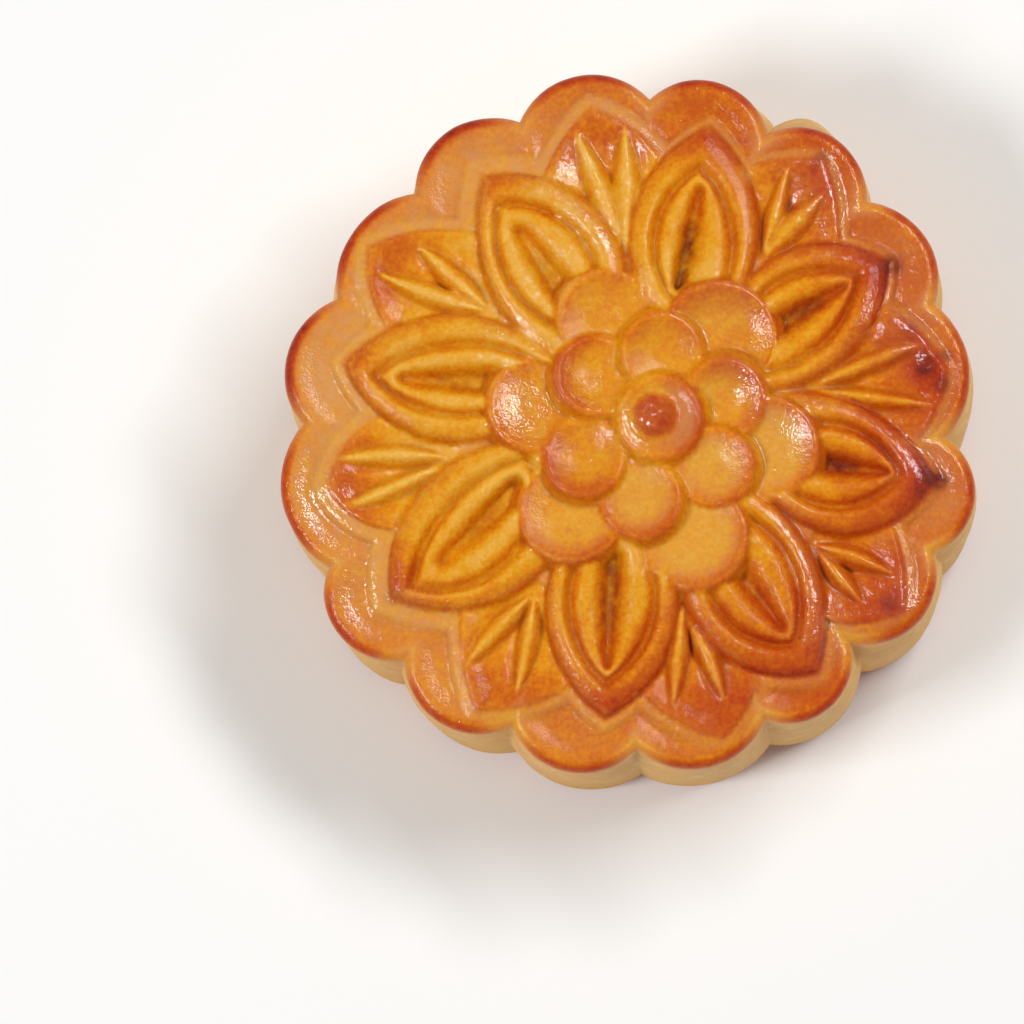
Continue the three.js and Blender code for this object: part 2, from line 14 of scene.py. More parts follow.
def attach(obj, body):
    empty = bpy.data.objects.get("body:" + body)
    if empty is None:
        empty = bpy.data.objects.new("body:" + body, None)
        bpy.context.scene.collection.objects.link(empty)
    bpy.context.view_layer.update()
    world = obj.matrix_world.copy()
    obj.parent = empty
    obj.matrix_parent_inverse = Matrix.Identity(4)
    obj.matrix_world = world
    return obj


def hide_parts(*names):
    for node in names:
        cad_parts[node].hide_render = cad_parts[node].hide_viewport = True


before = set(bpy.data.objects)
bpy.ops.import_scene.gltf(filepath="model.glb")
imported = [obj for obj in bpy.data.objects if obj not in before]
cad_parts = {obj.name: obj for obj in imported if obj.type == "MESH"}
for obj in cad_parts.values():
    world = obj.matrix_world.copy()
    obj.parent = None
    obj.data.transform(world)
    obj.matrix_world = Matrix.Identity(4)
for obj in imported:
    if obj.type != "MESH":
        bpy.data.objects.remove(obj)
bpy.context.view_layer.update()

MM = 0.001  # in metres

# ---------------- sizes of the cake

RIM_HEIGHT = 28.5  # crest of the scalloped rim above the foot
EDGE_ROUNDING = 1.4  # radius of the rim's outer edge
BORDER_DROP = 0.5  # the border inside the rim lies this far below the crest
BORDER_SLOPE = 2.4  # the width over which it drops
CORE_RADIUS = 33.0  # the round middle that the lobes stand out from

WALL_BULGE = 0.2  # the wall swells by this much below the rim
WALL_SWELL_DEPTH = 9.0  # and reaches its full width this far down
FLUTE_FILL = 0.28  # share of each flute that is filled in at full width
WIDEST_RADIUS = 40.6  # where the fluted wall would stand if it had no flutes
FOOT_ROUNDING = 2.6
LUMP = Values(angle=62.0, spread=6.0, depth=5.0, reach=4.0, size=1.9, start=1.5)  # dough that bulged out

# The sixteen notches between the lobes, clockwise: angle in degrees, distance from the middle, and how far
# the lobe that follows bulges past the straight line to the next notch.  Then that lobe's colour: how wide
# and how brown the band along its edge is, and how brown and how pale its border is; the paleness is partly
# a painted sheen.
BAND_WIDTH, BAND_BROWN, BORDER_BROWN, BORDER_PALE = 3, 4, 5, 6  # where a notch holds each of those colours
NOTCHES = [
    (110.1, 37.7, 4.1, 1.3, 0.80, 0.53, 0.15), (87.0, 38.1, 4.1, 1.2, 0.84, 0.57, 0.0),
    (65.4, 37.1, 4.0, 1.2, 0.78, 0.60, 0.0), (43.9, 37.2, 3.4, 1.2, 0.74, 0.58, 0.20),
    (22.1, 37.2, 3.4, 1.2, 0.76, 0.60, 0.15), (-2.3, 35.6, 3.9, 1.2, 0.72, 0.56, 0.35),
    (-23.2, 37.3, 3.8, 1.2, 0.72, 0.60, 0.05), (-45.3, 35.1, 3.8, 1.2, 0.76, 0.63, 0.0),
    (-66.0, 36.7, 3.7, 1.1, 0.72, 0.54, 0.15), (-89.5, 36.9, 3.8, 1.1, 0.70, 0.50, 0.15),
    (-112.0, 37.1, 3.8, 1.1, 0.70, 0.46, 0.25), (-134.5, 37.3, 4.0, 1.3, 0.72, 0.46, 0.30),
    (-155.4, 38.2, 4.0, 1.2, 0.74, 0.44, 0.55), (-180.9, 37.8, 3.8, 1.3, 0.92, 0.42, 0.75),
    (-203.9, 37.2, 3.2, 1.3, 0.80, 0.44, 0.55), (-227.4, 37.0, 3.8, 1.4, 0.88, 0.46, 0.50),
]

LOBE_COUNT = len(NOTCHES)
NOTCH_ANGLES = np.array([notch[0] for notch in NOTCHES] + [NOTCHES[0][0] - 360])  # and the first once more

FLOWER_CENTRE = (2.7, 0.7)
DOME_HEIGHT, DOME_INNER, DOME_OUTER = 0.9, 12.0, 36.0  # the ground rises towards the flower
RIDGE_STEEPNESS = 2.6  # the higher, the steeper a ridge rises from its first foot
SHOULDER_EDGE, SHOULDER_BACK, SHOULDER_STEEPNESS = 0.68, 0.32, 6  # shares of a shoulder's rise
OUTSIDE = -99.0  # a height or distance that never wins

# A leaf is pointed: a tip, and two curved sides that run back to the flower.  A side is the place where it
# meets the flower and how far it bulges past the straight line to the tip.  The eye is the pointed loop
# inside the leaf, and the vein is the groove down its middle, from tip to flower, that widens to a gap.  pit
# is how dark the gap is, and blush how much browner the leaf's tip is.
LEAVES = [
    dict(tip=(-17.2, 29.0), left=(-14.4, 12.1, 1.9), right=(-0.8, 19.3, 3.8), ledge=2.2, gap=2.2,
         eye=dict(tip=(-15.3, 25.3), left=(-10.2, 12.2, 2.2), right=(-4.6, 19.1, 2.2)),
         vein=((-12.9, 22.4), (-7.2, 14.2)), pit=0.25, blush=0.24),
    dict(tip=(8.9, 34.8), left=(-0.4, 18.9, 3.2), right=(13.8, 17.7, 2.7), ledge=0.7, gap=0.9,
         eye=dict(tip=(7.7, 29.3), left=(3.2, 17.2, 2.4), right=(11.0, 16.9, 1.8)),
         vein=((7.8, 27.0), (5.2, 15.8)), pit=0.70, blush=0.26),
    dict(tip=(29.3, 18.6), left=(13.4, 17.1, 3.1), right=(17.3, 3.8, 3.4), ledge=0.9, gap=1.2,
         eye=dict(tip=(25.3, 16.7), left=(14.8, 14.9, 1.6), right=(16.5, 6.1, 2.1)),
         vein=((24.3, 15.8), (16.0, 11.0)), pit=0.65, blush=0.22),
    dict(tip=(34.4, -6.4), left=(19.0, 4.0, 2.6), right=(17.5, -10.5, 4.2), ledge=0.7, gap=1.6,
         eye=dict(tip=(30.0, -5.7), left=(20.6, -0.1, 1.9), right=(19.2, -8.5, 2.2)),
         vein=((28.8, -5.6), (19.8, -4.2)), pit=0.75, blush=0.22),
    dict(tip=(21.0, -28.4), left=(16.2, -9.3, 3.0), right=(5.5, -19.3, 4.0), ledge=1.4, gap=0.7,
         eye=dict(tip=(18.0, -24.9), left=(13.7, -11.0, 2.6), right=(8.8, -19.3, 2.0)),
         vein=((16.9, -23.2), (10.8, -15.4)), pit=0.30, blush=0.04),
    dict(tip=(-3.3, -33.6), left=(5.0, -18.3, 3.0), right=(-9.3, -15.8, 3.1), ledge=1.3, gap=0.8,
         eye=dict(tip=(-3.1, -29.2), left=(2.5, -17.8, 1.9), right=(-6.8, -16.7, 2.0)),
         vein=((-3.0, -27.5), (-2.4, -15.4)), pit=0.60, blush=0.16),
    dict(tip=(-27.8, -19.6), left=(-9.3, -16.0, 3.2), right=(-16.2, -2.1, 4.1), ledge=2.3, gap=1.9,
         eye=dict(tip=(-25.1, -18.2), left=(-12.9, -13.7, 2.2), right=(-12.2, -3.9, 2.8)),
         vein=((-21.6, -15.4), (-13.4, -7.5)), pit=0.22, blush=0.34),
    dict(tip=(-33.2, 7.4), left=(-16.1, -1.6, 3.8), right=(-13.7, 11.4, 3.4), ledge=1.4, gap=1.9,
         eye=dict(tip=(-29.4, 5.8), left=(-17.2, 1.4, 1.7), right=(-14.7, 8.7, 1.8)),
         vein=((-26.2, 5.5), (-15.6, 4.9)), pit=0.30, blush=0.20),
]
# A range is where a change begins and ends, as a share or in mm.  A leaf's browning is added to the ground's,
# and the flower's stands alone.
LEAF = Values(
    reach=27.0,  # a leaf is drawn no further than this from its tip
    foot=0.2, crest=2.1, crest_at=0.58, valley=0.6,  # the outer band, and the valley between it and the eye
    plumpness=2.3,  # the higher, the rounder the band is on its inner side
    brown=0.03, edge_brown=0.12, edge_range=(0.1, 0.7),  # the band, and its outer side
    blush_reach=4, blush_spread=14, blush_range=(-0.5, 1.5),  # the redder a tip, the further it spreads
)
EYE = Values(
    crest=2.0, crest_at=0.42, floor=0.6, deepening=0.7,  # the ridges, and the gap that deepens to the flower
    plumpness=2.0, narrow=0.08,  # the gap's width at the tip, as a share of its width at the flower
    brown=0.10, crest_paling=0.12, paling_range=(0.1, 0.4), gap_brown=0.14, brown_range=(0.5, 0.9),
    gap_range=(0.75, 1.0), pit_range=(0.1, 0.5),  # where the gap begins, across and along, for its burnt dark
)

# A small leaf is a pointed plate between two leaves, with two ribs that fan out from its foot.  A rib is its
# tip, its foot, its half width and how far it bows to one side.
SMALL_LEAVES = [
    dict(tip=(-4.9, 36.9), left=(-10.4, 28.7, 0.7), right=(4.0, 30.2, 1.2), ledge=1.3,
         foot=(-0.8, 18.9), blush=0.28,
         ribs=[((-7.0, 34.9), (-1.2, 19.8), 1.5, -0.3), ((-0.9, 35.3), (-0.6, 19.8), 1.6, -0.1)]),
    dict(tip=(22.1, 30.8), left=(12.5, 29.8, 0.5), right=(23.8, 21.0, 0.6), ledge=0.9,
         foot=(14.5, 18.7), blush=0.18,
         ribs=[((17.9, 30.3), (14.8, 19.2), 1.15, -0.1), ((22.1, 26.6), (14.9, 19.0), 1.5, 0.2)]),
    dict(tip=(36.1, 6.3), left=(28.6, 13.8, 0.8), right=(32.9, -1.6, 0.6), ledge=0.9,
         foot=(19.0, 4.2), blush=0.10,
         ribs=[((33.7, 9.4), (20.5, 4.3), 1.2, 0.2), ((35.0, 2.0), (20.1, 3.8), 1.2, 0.0)]),
    dict(tip=(31.0, -21.5), left=(30.0, -12.3, 0.5), right=(21.7, -22.7, 0.8), ledge=1.2,
         foot=(19.8, -13.0), blush=0.14,
         ribs=[((29.7, -17.3), (20.4, -13.8), 1.25, 0.3), ((26.1, -20.7), (20.8, -14.4), 1.15, 0.0)]),
    dict(tip=(10.3, -35.9), left=(14.7, -28.3, 0.6), right=(1.1, -31.2, 0.8), ledge=1.2,
         foot=(5.7, -19.8), blush=0.10,
         ribs=[((10.4, -32.0), (5.9, -20.5), 1.2, 0.2), ((4.4, -32.6), (5.6, -20.5), 1.2, 0.0)]),
    dict(tip=(-18.1, -32.7), left=(-7.9, -30.4, 0.8), right=(-19.9, -21.7, 0.7), ledge=1.2,
         foot=(-10.3, -17.7), blush=0.18,
         ribs=[((-13.4, -30.9), (-11.2, -19.6), 1.25, 0.2), ((-19.4, -27.8), (-11.6, -19.4), 1.3, -0.2)]),
    dict(tip=(-35.1, -7.1), left=(-27.9, -12.0, 1.1), right=(-29.3, 1.3, 1.3), ledge=1.6,
         foot=(-19.1, -3.2), blush=0.30,
         ribs=[((-33.6, -9.4), (-21.5, -4.2), 1.05, 0.3), ((-34.3, -3.7), (-20.9, -3.5), 1.25, -0.3)]),
    dict(tip=(-30.6, 20.9), left=(-28.1, 10.9, 1.0), right=(-19.1, 22.7, 1.0), ledge=1.3,
         foot=(-14.5, 13.0), blush=0.27,
         ribs=[((-29.7, 18.0), (-16.4, 13.2), 1.35, 0.4), ((-24.8, 21.2), (-16.4, 13.5), 1.3, 0.1)]),
]

SMALL_LEAF = Values(
    half_width=9.5,  # no part of the plate is further than this from the line from foot to tip
    start=0.02,  # the plate begins at this share of the way along that line
    free_from=0.55,  # and its rounded edge stands free of the border from this share on
    height=1.25, edge=0.8,  # the plate, and the width of its rounded edge
    dish=0.5, dish_range=(0.6, 3.2),  # its middle is lower by this
    sink=0.5, sink_range=(0.05, 0.7),  # and it sinks by this towards its foot
    moat=0.8, moat_width=0.6, moat_range=(0, 0.3),  # the groove round each rib
    blush_range=(0.40, 0.85),
)
RIB = Values(
    height=1.2, rise=0.45, rise_range=(0, 0.4), fall=0.35, fall_range=(0.7, 1.0),  # the crest, along the rib
    drop=1.3, roundness=2.0, narrowest=0.25,  # its sides, which close in to this share of its half width
    brown=0.04, crest_paling=0.15, blush=0.3, blush_range=(0.6, 1.0),
)
LEDGE = Values(height=0.75, edge=1.1, paling=0.08)  # the low step that shows outside both kinds of leaf

# The petals are round dishes: x, y, radius, how deep the dish is, how pale it is, and how much it reddens
# inside its outer rim.  Each tips sideways, so its counter-clockwise edge is high and its clockwise edge
# dives under the next one.
OUTER_PETALS = [
    (-2.9, 12.1, 6.6, 0.5, 0.20, 0.08), (9.9, 9.5, 7.6, 0.9, 0.15, 0.20),
    (15.3, -2.9, 6.7, 0.6, 0.65, 0.24), (6.8, -12.8, 7.1, 0.3, 0.65, 0.26),
    (-7.0, -9.7, 7.1, 0.5, 0.40, 0.24), (-10.9, 2.3, 6.5, 0.6, 0.10, 0.14),
]
INNER_PETALS = [
    (3.4, 8.1, 5.5, 0.7, 0.15, 0.12), (10.4, 2.7, 5.6, 1.1, 0.25, 0.30),
    (9.2, -5.1, 5.5, 0.35, 0.65, 0.26), (0.9, -8.6, 5.6, 0.4, 0.60, 0.28),
    (-5.5, -3.8, 5.6, 0.9, 0.15, 0.36), (-4.2, 5.5, 5.6, 0.9, 0.10, 0.32),
]
PETAL = Values(
    edge=1.6, edge_power=1.9,  # the rounded rim's width, and how square it is
    roll=0.35, roll_range=(0.9, 2.0), dish_range=(1.2, 4.6), flare=0.4,  # the rim rolls up over the dish
    brown=0.40, middle_paling=0.18, middle_range=(1.4, 3.8),
    blush=0.66, blush_in=(0.2, 1.0), blush_out=(1.2, 4.0),  # the reddening, from the rim inwards
    turn=0.4, turned_range=(-0.5, 0.6),  # it is on the side away from the flower's middle, turned a little
    # a pale bloom inside the rim, partly painted sheen, that fades again towards the middle
    bloom=0.6, bloom_range=(1.4, 2.4), bloom_loss=0.4, loss_range=(1.8, 4.2),
)
OUTER_RING = Values(foot=0.3, crest=2.3, tilt=0.7)
INNER_RING = Values(foot=0.9, crest=2.3, tilt=0.75)
CUP = Values(
    centre=(3.1, 0.5), radius=5.7, foot=1.9, crest=1.9, edge=1.4, edge_power=1.9,
    hollow=0.6, hollow_range=(1.1, 2.6), cover=1.2,  # it hides what is below it from this far inside its edge
    # the cup's right half is redder, and paler with a bloom that is partly painted sheen
    brown=0.37, right_brown=0.30, brown_range=(0.1, 0.9), bloom=0.6, bloom_range=(1.4, 1.9),
    right_range=(-3, 5),  # from its left to its right, as seen with the close pair of lobes at the back
)
BUD = Values(
    centre=(2.3, 0.8), radius=4.6, foot=2.7, height=1.6, slope=(0.1, 1.0),
    brown=0.36, redness=0.32, red_shift=0.4, red_range=(0.40, 0.66),
    lumps=[(1.5, 2.0, 0.7, 0.35), (3.2, 1.0, 0.8, 0.45), (2.4, -0.6, 0.7, 0.40), (1.0, 0.2, 0.6, 0.30)],
)  # a lump is its x, y, reach and lift

# Spots that caught the heat: x, y, radius, and how burnt.
BURNT_SPOTS = [
    (29.6, 18.3, 1.1, 0.75), (33.2, 6.8, 1.2, 0.95), (35.0, 4.5, 0.9, 0.75), (35.6, 7.9, 0.6, 0.60),
    (34.4, -6.3, 1.2, 0.90), (31.6, 10.6, 0.7, 0.40), (-27.4, -19.3, 0.9, 0.30), (21.6, 30.5, 1.0, 0.45),
    (29.0, -20.6, 0.9, 0.45), (17.9, 25.2, 0.6, 0.50),
]
SPOT_RANGE, SPOT_BROWN = (0.5, 1.5), 0.14  # where a spot fades, in radii, and how it browns what is round it

# The ground is browner on the right, partly from baking and partly as painted shade on the side away from the
# light: how brown the ground is on the left, and what the right and the rim add.
HEAT_AND_SIDE_SHADE = Values(right_range=(-24, 30), lean=0.4, ground=0.17, right=0.14,
              rim_range=(12, 32), rim=0.10, rim_right=0.15)
NOTCH_SHARE = 0.3  # share of a lobe's length that its notch takes at each end
IN_NOTCH_BROWN = 0.6  # the band is this much as brown in the notches as on the lobes
BAND_RANGE = (0.2, 2.2)  # and fades over this range of its width
LEDGE_PALE, LEDGE_PALE_LOSS = 0.6, 0.35  # how pale the ledges are on the left, and how much less on the right

# ---------------- plane geometry on whole arrays of places


def smooth_step(low, high, value):
    t = np.clip((value - low) / (high - low), 0, 1)
    return t * t * (3 - 2 * t)


def round_up(distance, width):
    """0 outside, rising in a quarter round to 1 over the width of an edge."""
    return np.sqrt(1 - (1 - np.clip(distance / width, 0, 1)) ** 2)


def ridge(across, crest_at, start, crest, end, plumpness):
    """Height over a ridge, at a share of the way across it, from its height at one foot to the other's."""
    up, down = np.clip(across / crest_at, 0, 1), np.clip((across - crest_at) / (1 - crest_at), 0, 1)
    return np.where(across < crest_at, start + (crest - start) * (1 - (1 - up) ** RIDGE_STEEPNESS),
                    end + (crest - end) * (1 - down ** plumpness))


def shoulder(across, crest_at, start, crest, end, plumpness):
    """Like a ridge, but with a steep edge and then a broad back that rises gently to the crest."""
    up, down = np.clip(across / crest_at, 0, 1), np.clip((across - crest_at) / (1 - crest_at), 0, 1)
    rise = SHOULDER_EDGE * (1 - (1 - up) ** SHOULDER_STEEPNESS) + SHOULDER_BACK * up
    return np.where(across < crest_at, start + (crest - start) * rise,
                    end + (crest - end) * (1 - down ** plumpness))


def from_polar(degrees, radius):
    return radius * math.cos(math.radians(degrees)), radius * math.sin(math.radians(degrees))


def arc_circle(start, end, bulge):
    """The circle through two points whose arc bulges to the left of the way from start to end."""
    (ax, ay), (bx, by) = start[:2], end[:2]
    chord = math.hypot(bx - ax, by - ay)
    radius = (chord * chord / 4 + bulge * bulge) / (2 * bulge)
    offset = (bulge - radius) / chord
    return (ax + bx) / 2 - (by - ay) * offset, (ay + by) / 2 + (bx - ax) * offset, radius


def distance_from(place, x, y):
    return np.hypot(x - place[0], y - place[1])


def inside_circle(circle, x, y):
    return circle[2] - distance_from(circle, x, y)


def inside_pointed(shape, x, y):
    """How deep each place lies inside the pointed shape between two arcs that meet at its tip."""
    left = arc_circle(shape["left"], shape["tip"], shape["left"][2])
    right = arc_circle(shape["tip"], shape["right"], shape["right"][2])
    return np.minimum(inside_circle(left, x, y), inside_circle(right, x, y))


def inside_rib(rib, x, y):
    tip, foot, half_width, bow = rib
    left, right = arc_circle(foot, tip, half_width + bow), arc_circle(tip, foot, half_width - bow)
    return np.minimum(inside_circle(left, x, y), inside_circle(right, x, y))


def near_stretch(start, end, x, y):
    """Distance from a straight stretch, and how far along it the nearest point is, from 0 to 1."""
    (ax, ay), (bx, by) = start, end
    along = ((x - ax) * (bx - ax) + (y - ay) * (by - ay)) / ((bx - ax) ** 2 + (by - ay) ** 2)
    along = np.clip(along, 0, 1)
    return np.hypot(x - ax - along * (bx - ax), y - ay - along * (by - ay)), along


def bump_up(heights, places, x, y):
    """Add a round bump at each of the places, which are x, y, reach and lift."""
    for bx, by, reach, lift in places:
        heights += lift * np.exp(-((x - bx) ** 2 + (y - by) ** 2) / reach ** 2)
    return heights


# ---------------- rim and wall

LOBES = [arc_circle(from_polar(*notch[:2]), from_polar(*following[:2]), notch[2])
         for notch, following in zip(NOTCHES, NOTCHES[1:] + NOTCHES[:1])]


def inside_rim(x, y):
    deepest = CORE_RADIUS - np.hypot(x, y)
    for lobe in LOBES:
        deepest = np.maximum(deepest, inside_circle(lobe, x, y))
    return deepest


def rim_radius(angle, inset):
    """How far the scalloped outline, drawn in by an inset, is from the middle in each direction."""
    farthest = np.full_like(angle, CORE_RADIUS - inset)
    for cx, cy, radius in LOBES:
        ahead = cx * np.cos(angle) + cy * np.sin(angle)
        aside = cx * np.sin(angle) - cy * np.cos(angle)
        half = (radius - inset) ** 2 - aside ** 2
        farthest = np.where(half > 0, np.maximum(farthest, ahead + np.sqrt(np.maximum(half, 0))), farthest)
    return farthest


def lobe_values(angle, column):
    """One of the lobes' values round the rim, blended from the middle of one lobe to the next."""
    middles = (NOTCH_ANGLES[:-1] + NOTCH_ANGLES[1:]) / 2
    values = np.array([notch[column] for notch in NOTCHES])
    degrees = (np.degrees(angle) - middles[-1]) % 360
    places = (middles - middles[-1]) % 360
    order = np.argsort(places)
    return np.interp(degrees, places[order], values[order], period=360)


def wall_radius(angle, depth):
    """The wall at one direction and depth below the rim: flutes under the lobes that fill in further down."""
    rim = rim_radius(angle, 0)
    swell = smooth_step(0, WALL_SWELL_DEPTH, depth)
    off_angle = ((np.degrees(angle) - LUMP.angle + 180) % 360 - 180) / LUMP.spread
    off_depth = (depth - LUMP.depth) / LUMP.reach
    lump = LUMP.size * np.exp(-off_angle ** 2 - off_depth ** 2) * smooth_step(0, LUMP.start, depth)
    return rim + swell * (FLUTE_FILL * (WIDEST_RADIUS - rim) + WALL_BULGE) + lump


# ---------------- the moulded top


class Moulding:
    """What is seen from above at each place: its height, how brown it is baked, how pale and how burnt."""

    def __init__(self, height, brown, pale):
        self.height, self.brown, self.pale, self.burnt = height, brown, pale, np.zeros_like(height)

    def cover(self, where, height, brown, pale=0.0, burnt=0.0):
        """Put a feature over what is there."""
        for name, value in (("height", height), ("brown", brown), ("pale", pale), ("burnt", burnt)):
            setattr(self, name, np.where(where, value, getattr(self, name)))

    def raise_to(self, where, height, brown, pale=0.0):
        """Put a feature there only where it is the higher one."""
        self.cover(where & (height > self.height), height, brown, pale)


def add_ledges(top, ground, brown, pale, x, y):
    for leaf in SMALL_LEAVES + LEAVES:
        inside = inside_pointed(leaf, x, y) + leaf["ledge"]
        height = ground + LEDGE.height * round_up(inside, LEDGE.edge)
        top.raise_to(inside > 0, height, brown - LEDGE.paling, pale)


def plate_height(leaf, inside, along, x, y):
    """A small leaf's plate above the ground: dished, sunk at its foot, and grooved round its ribs."""
    height = SMALL_LEAF.height * round_up(inside, SMALL_LEAF.edge)
    height = height - SMALL_LEAF.dish * smooth_step(*SMALL_LEAF.dish_range, inside)
    height -= SMALL_LEAF.sink * (1 - smooth_step(*SMALL_LEAF.sink_range, along))
    for rib in leaf["ribs"]:
        outside = np.maximum(-inside_rib(rib, x, y), 0)
        along_rib = near_stretch(rib[1], rib[0], x, y)[1]
        groove = SMALL_LEAF.moat * np.exp(-(outside / SMALL_LEAF.moat_width) ** 2)
        height -= groove * smooth_step(*SMALL_LEAF.moat_range, along_rib) * (1 - along_rib ** 2)
    return height


def add_small_leaves(top, ground, brown, x, y):
    for leaf in SMALL_LEAVES:
        inside = inside_pointed(leaf, x, y)
        distance, along = near_stretch(leaf["foot"], leaf["tip"], x, y)
        height = ground + plate_height(leaf, inside, along, x, y)
        plate_brown = brown + leaf["blush"] * smooth_step(*SMALL_LEAF.blush_range, along)
        shown = (inside > 0) & (distance < SMALL_LEAF.half_width) & (along > SMALL_LEAF.start)
        edge = (inside < SMALL_LEAF.edge) & (along > SMALL_LEAF.free_from)
        top.raise_to(shown & edge, height, plate_brown)
        top.cover(shown & ~edge, height, plate_brown)
    for leaf in SMALL_LEAVES:
        for rib in leaf["ribs"]:
            add_rib(top, ground, brown, leaf["blush"], rib, x, y)


def add_rib(top, ground, brown, blush, rib, x, y):
    inside = inside_rib(rib, x, y)
    along = near_stretch(rib[1], rib[0], x, y)[1]
    side = np.clip(inside / (rib[2] * np.maximum(4 * along * (1 - along), RIB.narrowest)), 0, 1)
    crest = RIB.height + RIB.rise * smooth_step(*RIB.rise_range, along)
    crest = crest - RIB.fall * smooth_step(*RIB.fall_range, along)
    height = ground + crest - RIB.drop * (1 - side) ** RIB.roundness
    reddened = RIB.blush * blush * smooth_step(*RIB.blush_range, along)
    top.raise_to(inside > 0, height, brown + RIB.brown - RIB.crest_paling * side + reddened)


def add_leaves(top, ground, brown, x, y):
    highest = np.full_like(x, OUTSIDE)
    for leaf in LEAVES:
        inside, inside_eye = inside_pointed(leaf, x, y), inside_pointed(leaf["eye"], x, y)
        from_tip = distance_from(leaf["tip"], x, y)
        # the outer band, a plump shoulder
        across = inside / np.maximum(inside + np.maximum(-inside_eye, 0), 1e-6)
        band = shoulder(across, LEAF.crest_at, LEAF.foot, LEAF.crest, LEAF.valley, LEAF.plumpness)
        spread = 1 - smooth_step(0, LEAF.blush_reach + LEAF.blush_spread * leaf["blush"], from_tip)
        band_brown = brown + LEAF.brown + LEAF.edge_brown * (1 - smooth_step(*LEAF.edge_range, across))
        band_brown = band_brown + leaf["blush"] * spread * smooth_step(*LEAF.blush_range, inside)
        # the eye, a ridge on each side of the vein's gap
        distance, along = near_stretch(*leaf["vein"], x, y)
        beside = np.maximum(distance - leaf["gap"] / 2 * (EYE.narrow + (1 - EYE.narrow) * along), 0)
        across_eye = inside_eye / np.maximum(inside_eye + beside, 1e-6)
        floor = EYE.floor - EYE.deepening * along
        eye = ridge(across_eye, EYE.crest_at, LEAF.valley, EYE.crest, floor, EYE.plumpness)
        in_gap = smooth_step(*EYE.gap_range, across_eye)
        eye_brown = brown + EYE.brown - EYE.crest_paling * smooth_step(*EYE.paling_range, across_eye)
        eye_brown = eye_brown + EYE.gap_brown * smooth_step(*EYE.brown_range, across_eye)
        in_eye = inside_eye > 0
        height = ground + np.where(in_eye, eye, band)
        shown = (inside > 0) & (from_tip < LEAF.reach) & (height > highest)
        top.cover(shown, height, np.where(in_eye, eye_brown, band_brown), 0.0,
                  np.where(in_eye, leaf["pit"] * in_gap * smooth_step(*EYE.pit_range, along), 0))
        highest = np.where(shown, height, highest)


def add_petals(top, petals, ring, x, y):
    over, deepest = np.full_like(x, OUTSIDE), np.full_like(x, OUTSIDE)
    brown_over, pale_over = np.zeros_like(x), np.zeros_like(x)
    for cx, cy, radius, dish, pale, blush in petals:
        inside = radius - np.hypot(x - cx, y - cy)
        deepest = np.maximum(deepest, inside)
        away = math.hypot(cx - FLOWER_CENTRE[0], cy - FLOWER_CENTRE[1])
        out_x, out_y = (cx - FLOWER_CENTRE[0]) / away, (cy - FLOWER_CENTRE[1]) / away
        outward = ((x - cx) * out_x + (y - cy) * out_y) / radius
        sideways = ((y - cy) * out_x - (x - cx) * out_y) / radius
        rim = 1 - (1 - np.clip(inside / PETAL.edge, 0, 1)) ** PETAL.edge_power
        hollow = PETAL.roll * smooth_step(*PETAL.roll_range, inside)
        hollow = hollow + dish * smooth_step(*PETAL.dish_range, inside)
        height = ring.foot + ring.crest * rim - hollow + ring.tilt * sideways + PETAL.flare * outward
        reddened = smooth_step(*PETAL.blush_in, inside) * (1 - smooth_step(*PETAL.blush_out, inside))
        turned = smooth_step(*PETAL.turned_range, outward + PETAL.turn * sideways)
        brown = PETAL.brown - PETAL.middle_paling * pale * smooth_step(*PETAL.middle_range, inside)
        brown = brown + PETAL.blush * blush * reddened * turned
        bloom = PETAL.bloom * pale * smooth_step(*PETAL.bloom_range, inside)
        bloom = bloom * (1 - PETAL.bloom_loss * smooth_step(*PETAL.loss_range, inside))
        here = (inside > 0) & (height > over)
        over = np.where(here, height, over)
        brown_over = np.where(here, brown, brown_over)
        pale_over = np.where(here, bloom, pale_over)
    top.cover(deepest > PETAL.edge, over, brown_over, pale_over)
    top.raise_to((deepest > 0) & (deepest <= PETAL.edge), over, brown_over, pale_over)


def add_cup(top, x, y):
    inside = CUP.radius - distance_from(CUP.centre, x, y)
    height = CUP.foot + CUP.crest * (1 - (1 - np.clip(inside / CUP.edge, 0, 1)) ** CUP.edge_power)
    height = height - CUP.hollow * smooth_step(*CUP.hollow_range, inside)
    to_right = smooth_step(*CUP.right_range, x - CUP.centre[0])
    brown = CUP.brown + CUP.right_brown * to_right * smooth_step(*CUP.brown_range, inside)
    pale = CUP.bloom * to_right * smooth_step(*CUP.bloom_range, inside)
    top.cover(inside > CUP.cover, height, brown, pale)
    top.raise_to((inside > 0) & (inside <= CUP.cover), height, brown, pale)


def add_bud(top, x, y):
    from_bud = distance_from(BUD.centre, x, y) / BUD.radius
    dome = BUD.foot + BUD.height * (1 - smooth_step(*BUD.slope, from_bud))
    dome = bump_up(dome, BUD.lumps, x, y)
    from_red = np.hypot(x - BUD.centre[0] - BUD.red_shift, y - BUD.centre[1]) / BUD.radius
    redness = 1 - smooth_step(*BUD.red_range, from_red)
    top.raise_to(from_bud < 1, dome, BUD.brown + BUD.redness * redness)


def add_burnt_spots(top, x, y):
    for sx, sy, radius, burnt in BURNT_SPOTS:
        away = np.hypot(x - sx, y - sy) / radius
        top.burnt = np.maximum(top.burnt, burnt * (1 - smooth_step(*SPOT_RANGE, away)))
        top.brown = top.brown + SPOT_BROWN * burnt * np.exp(-(away / 2) ** 2)


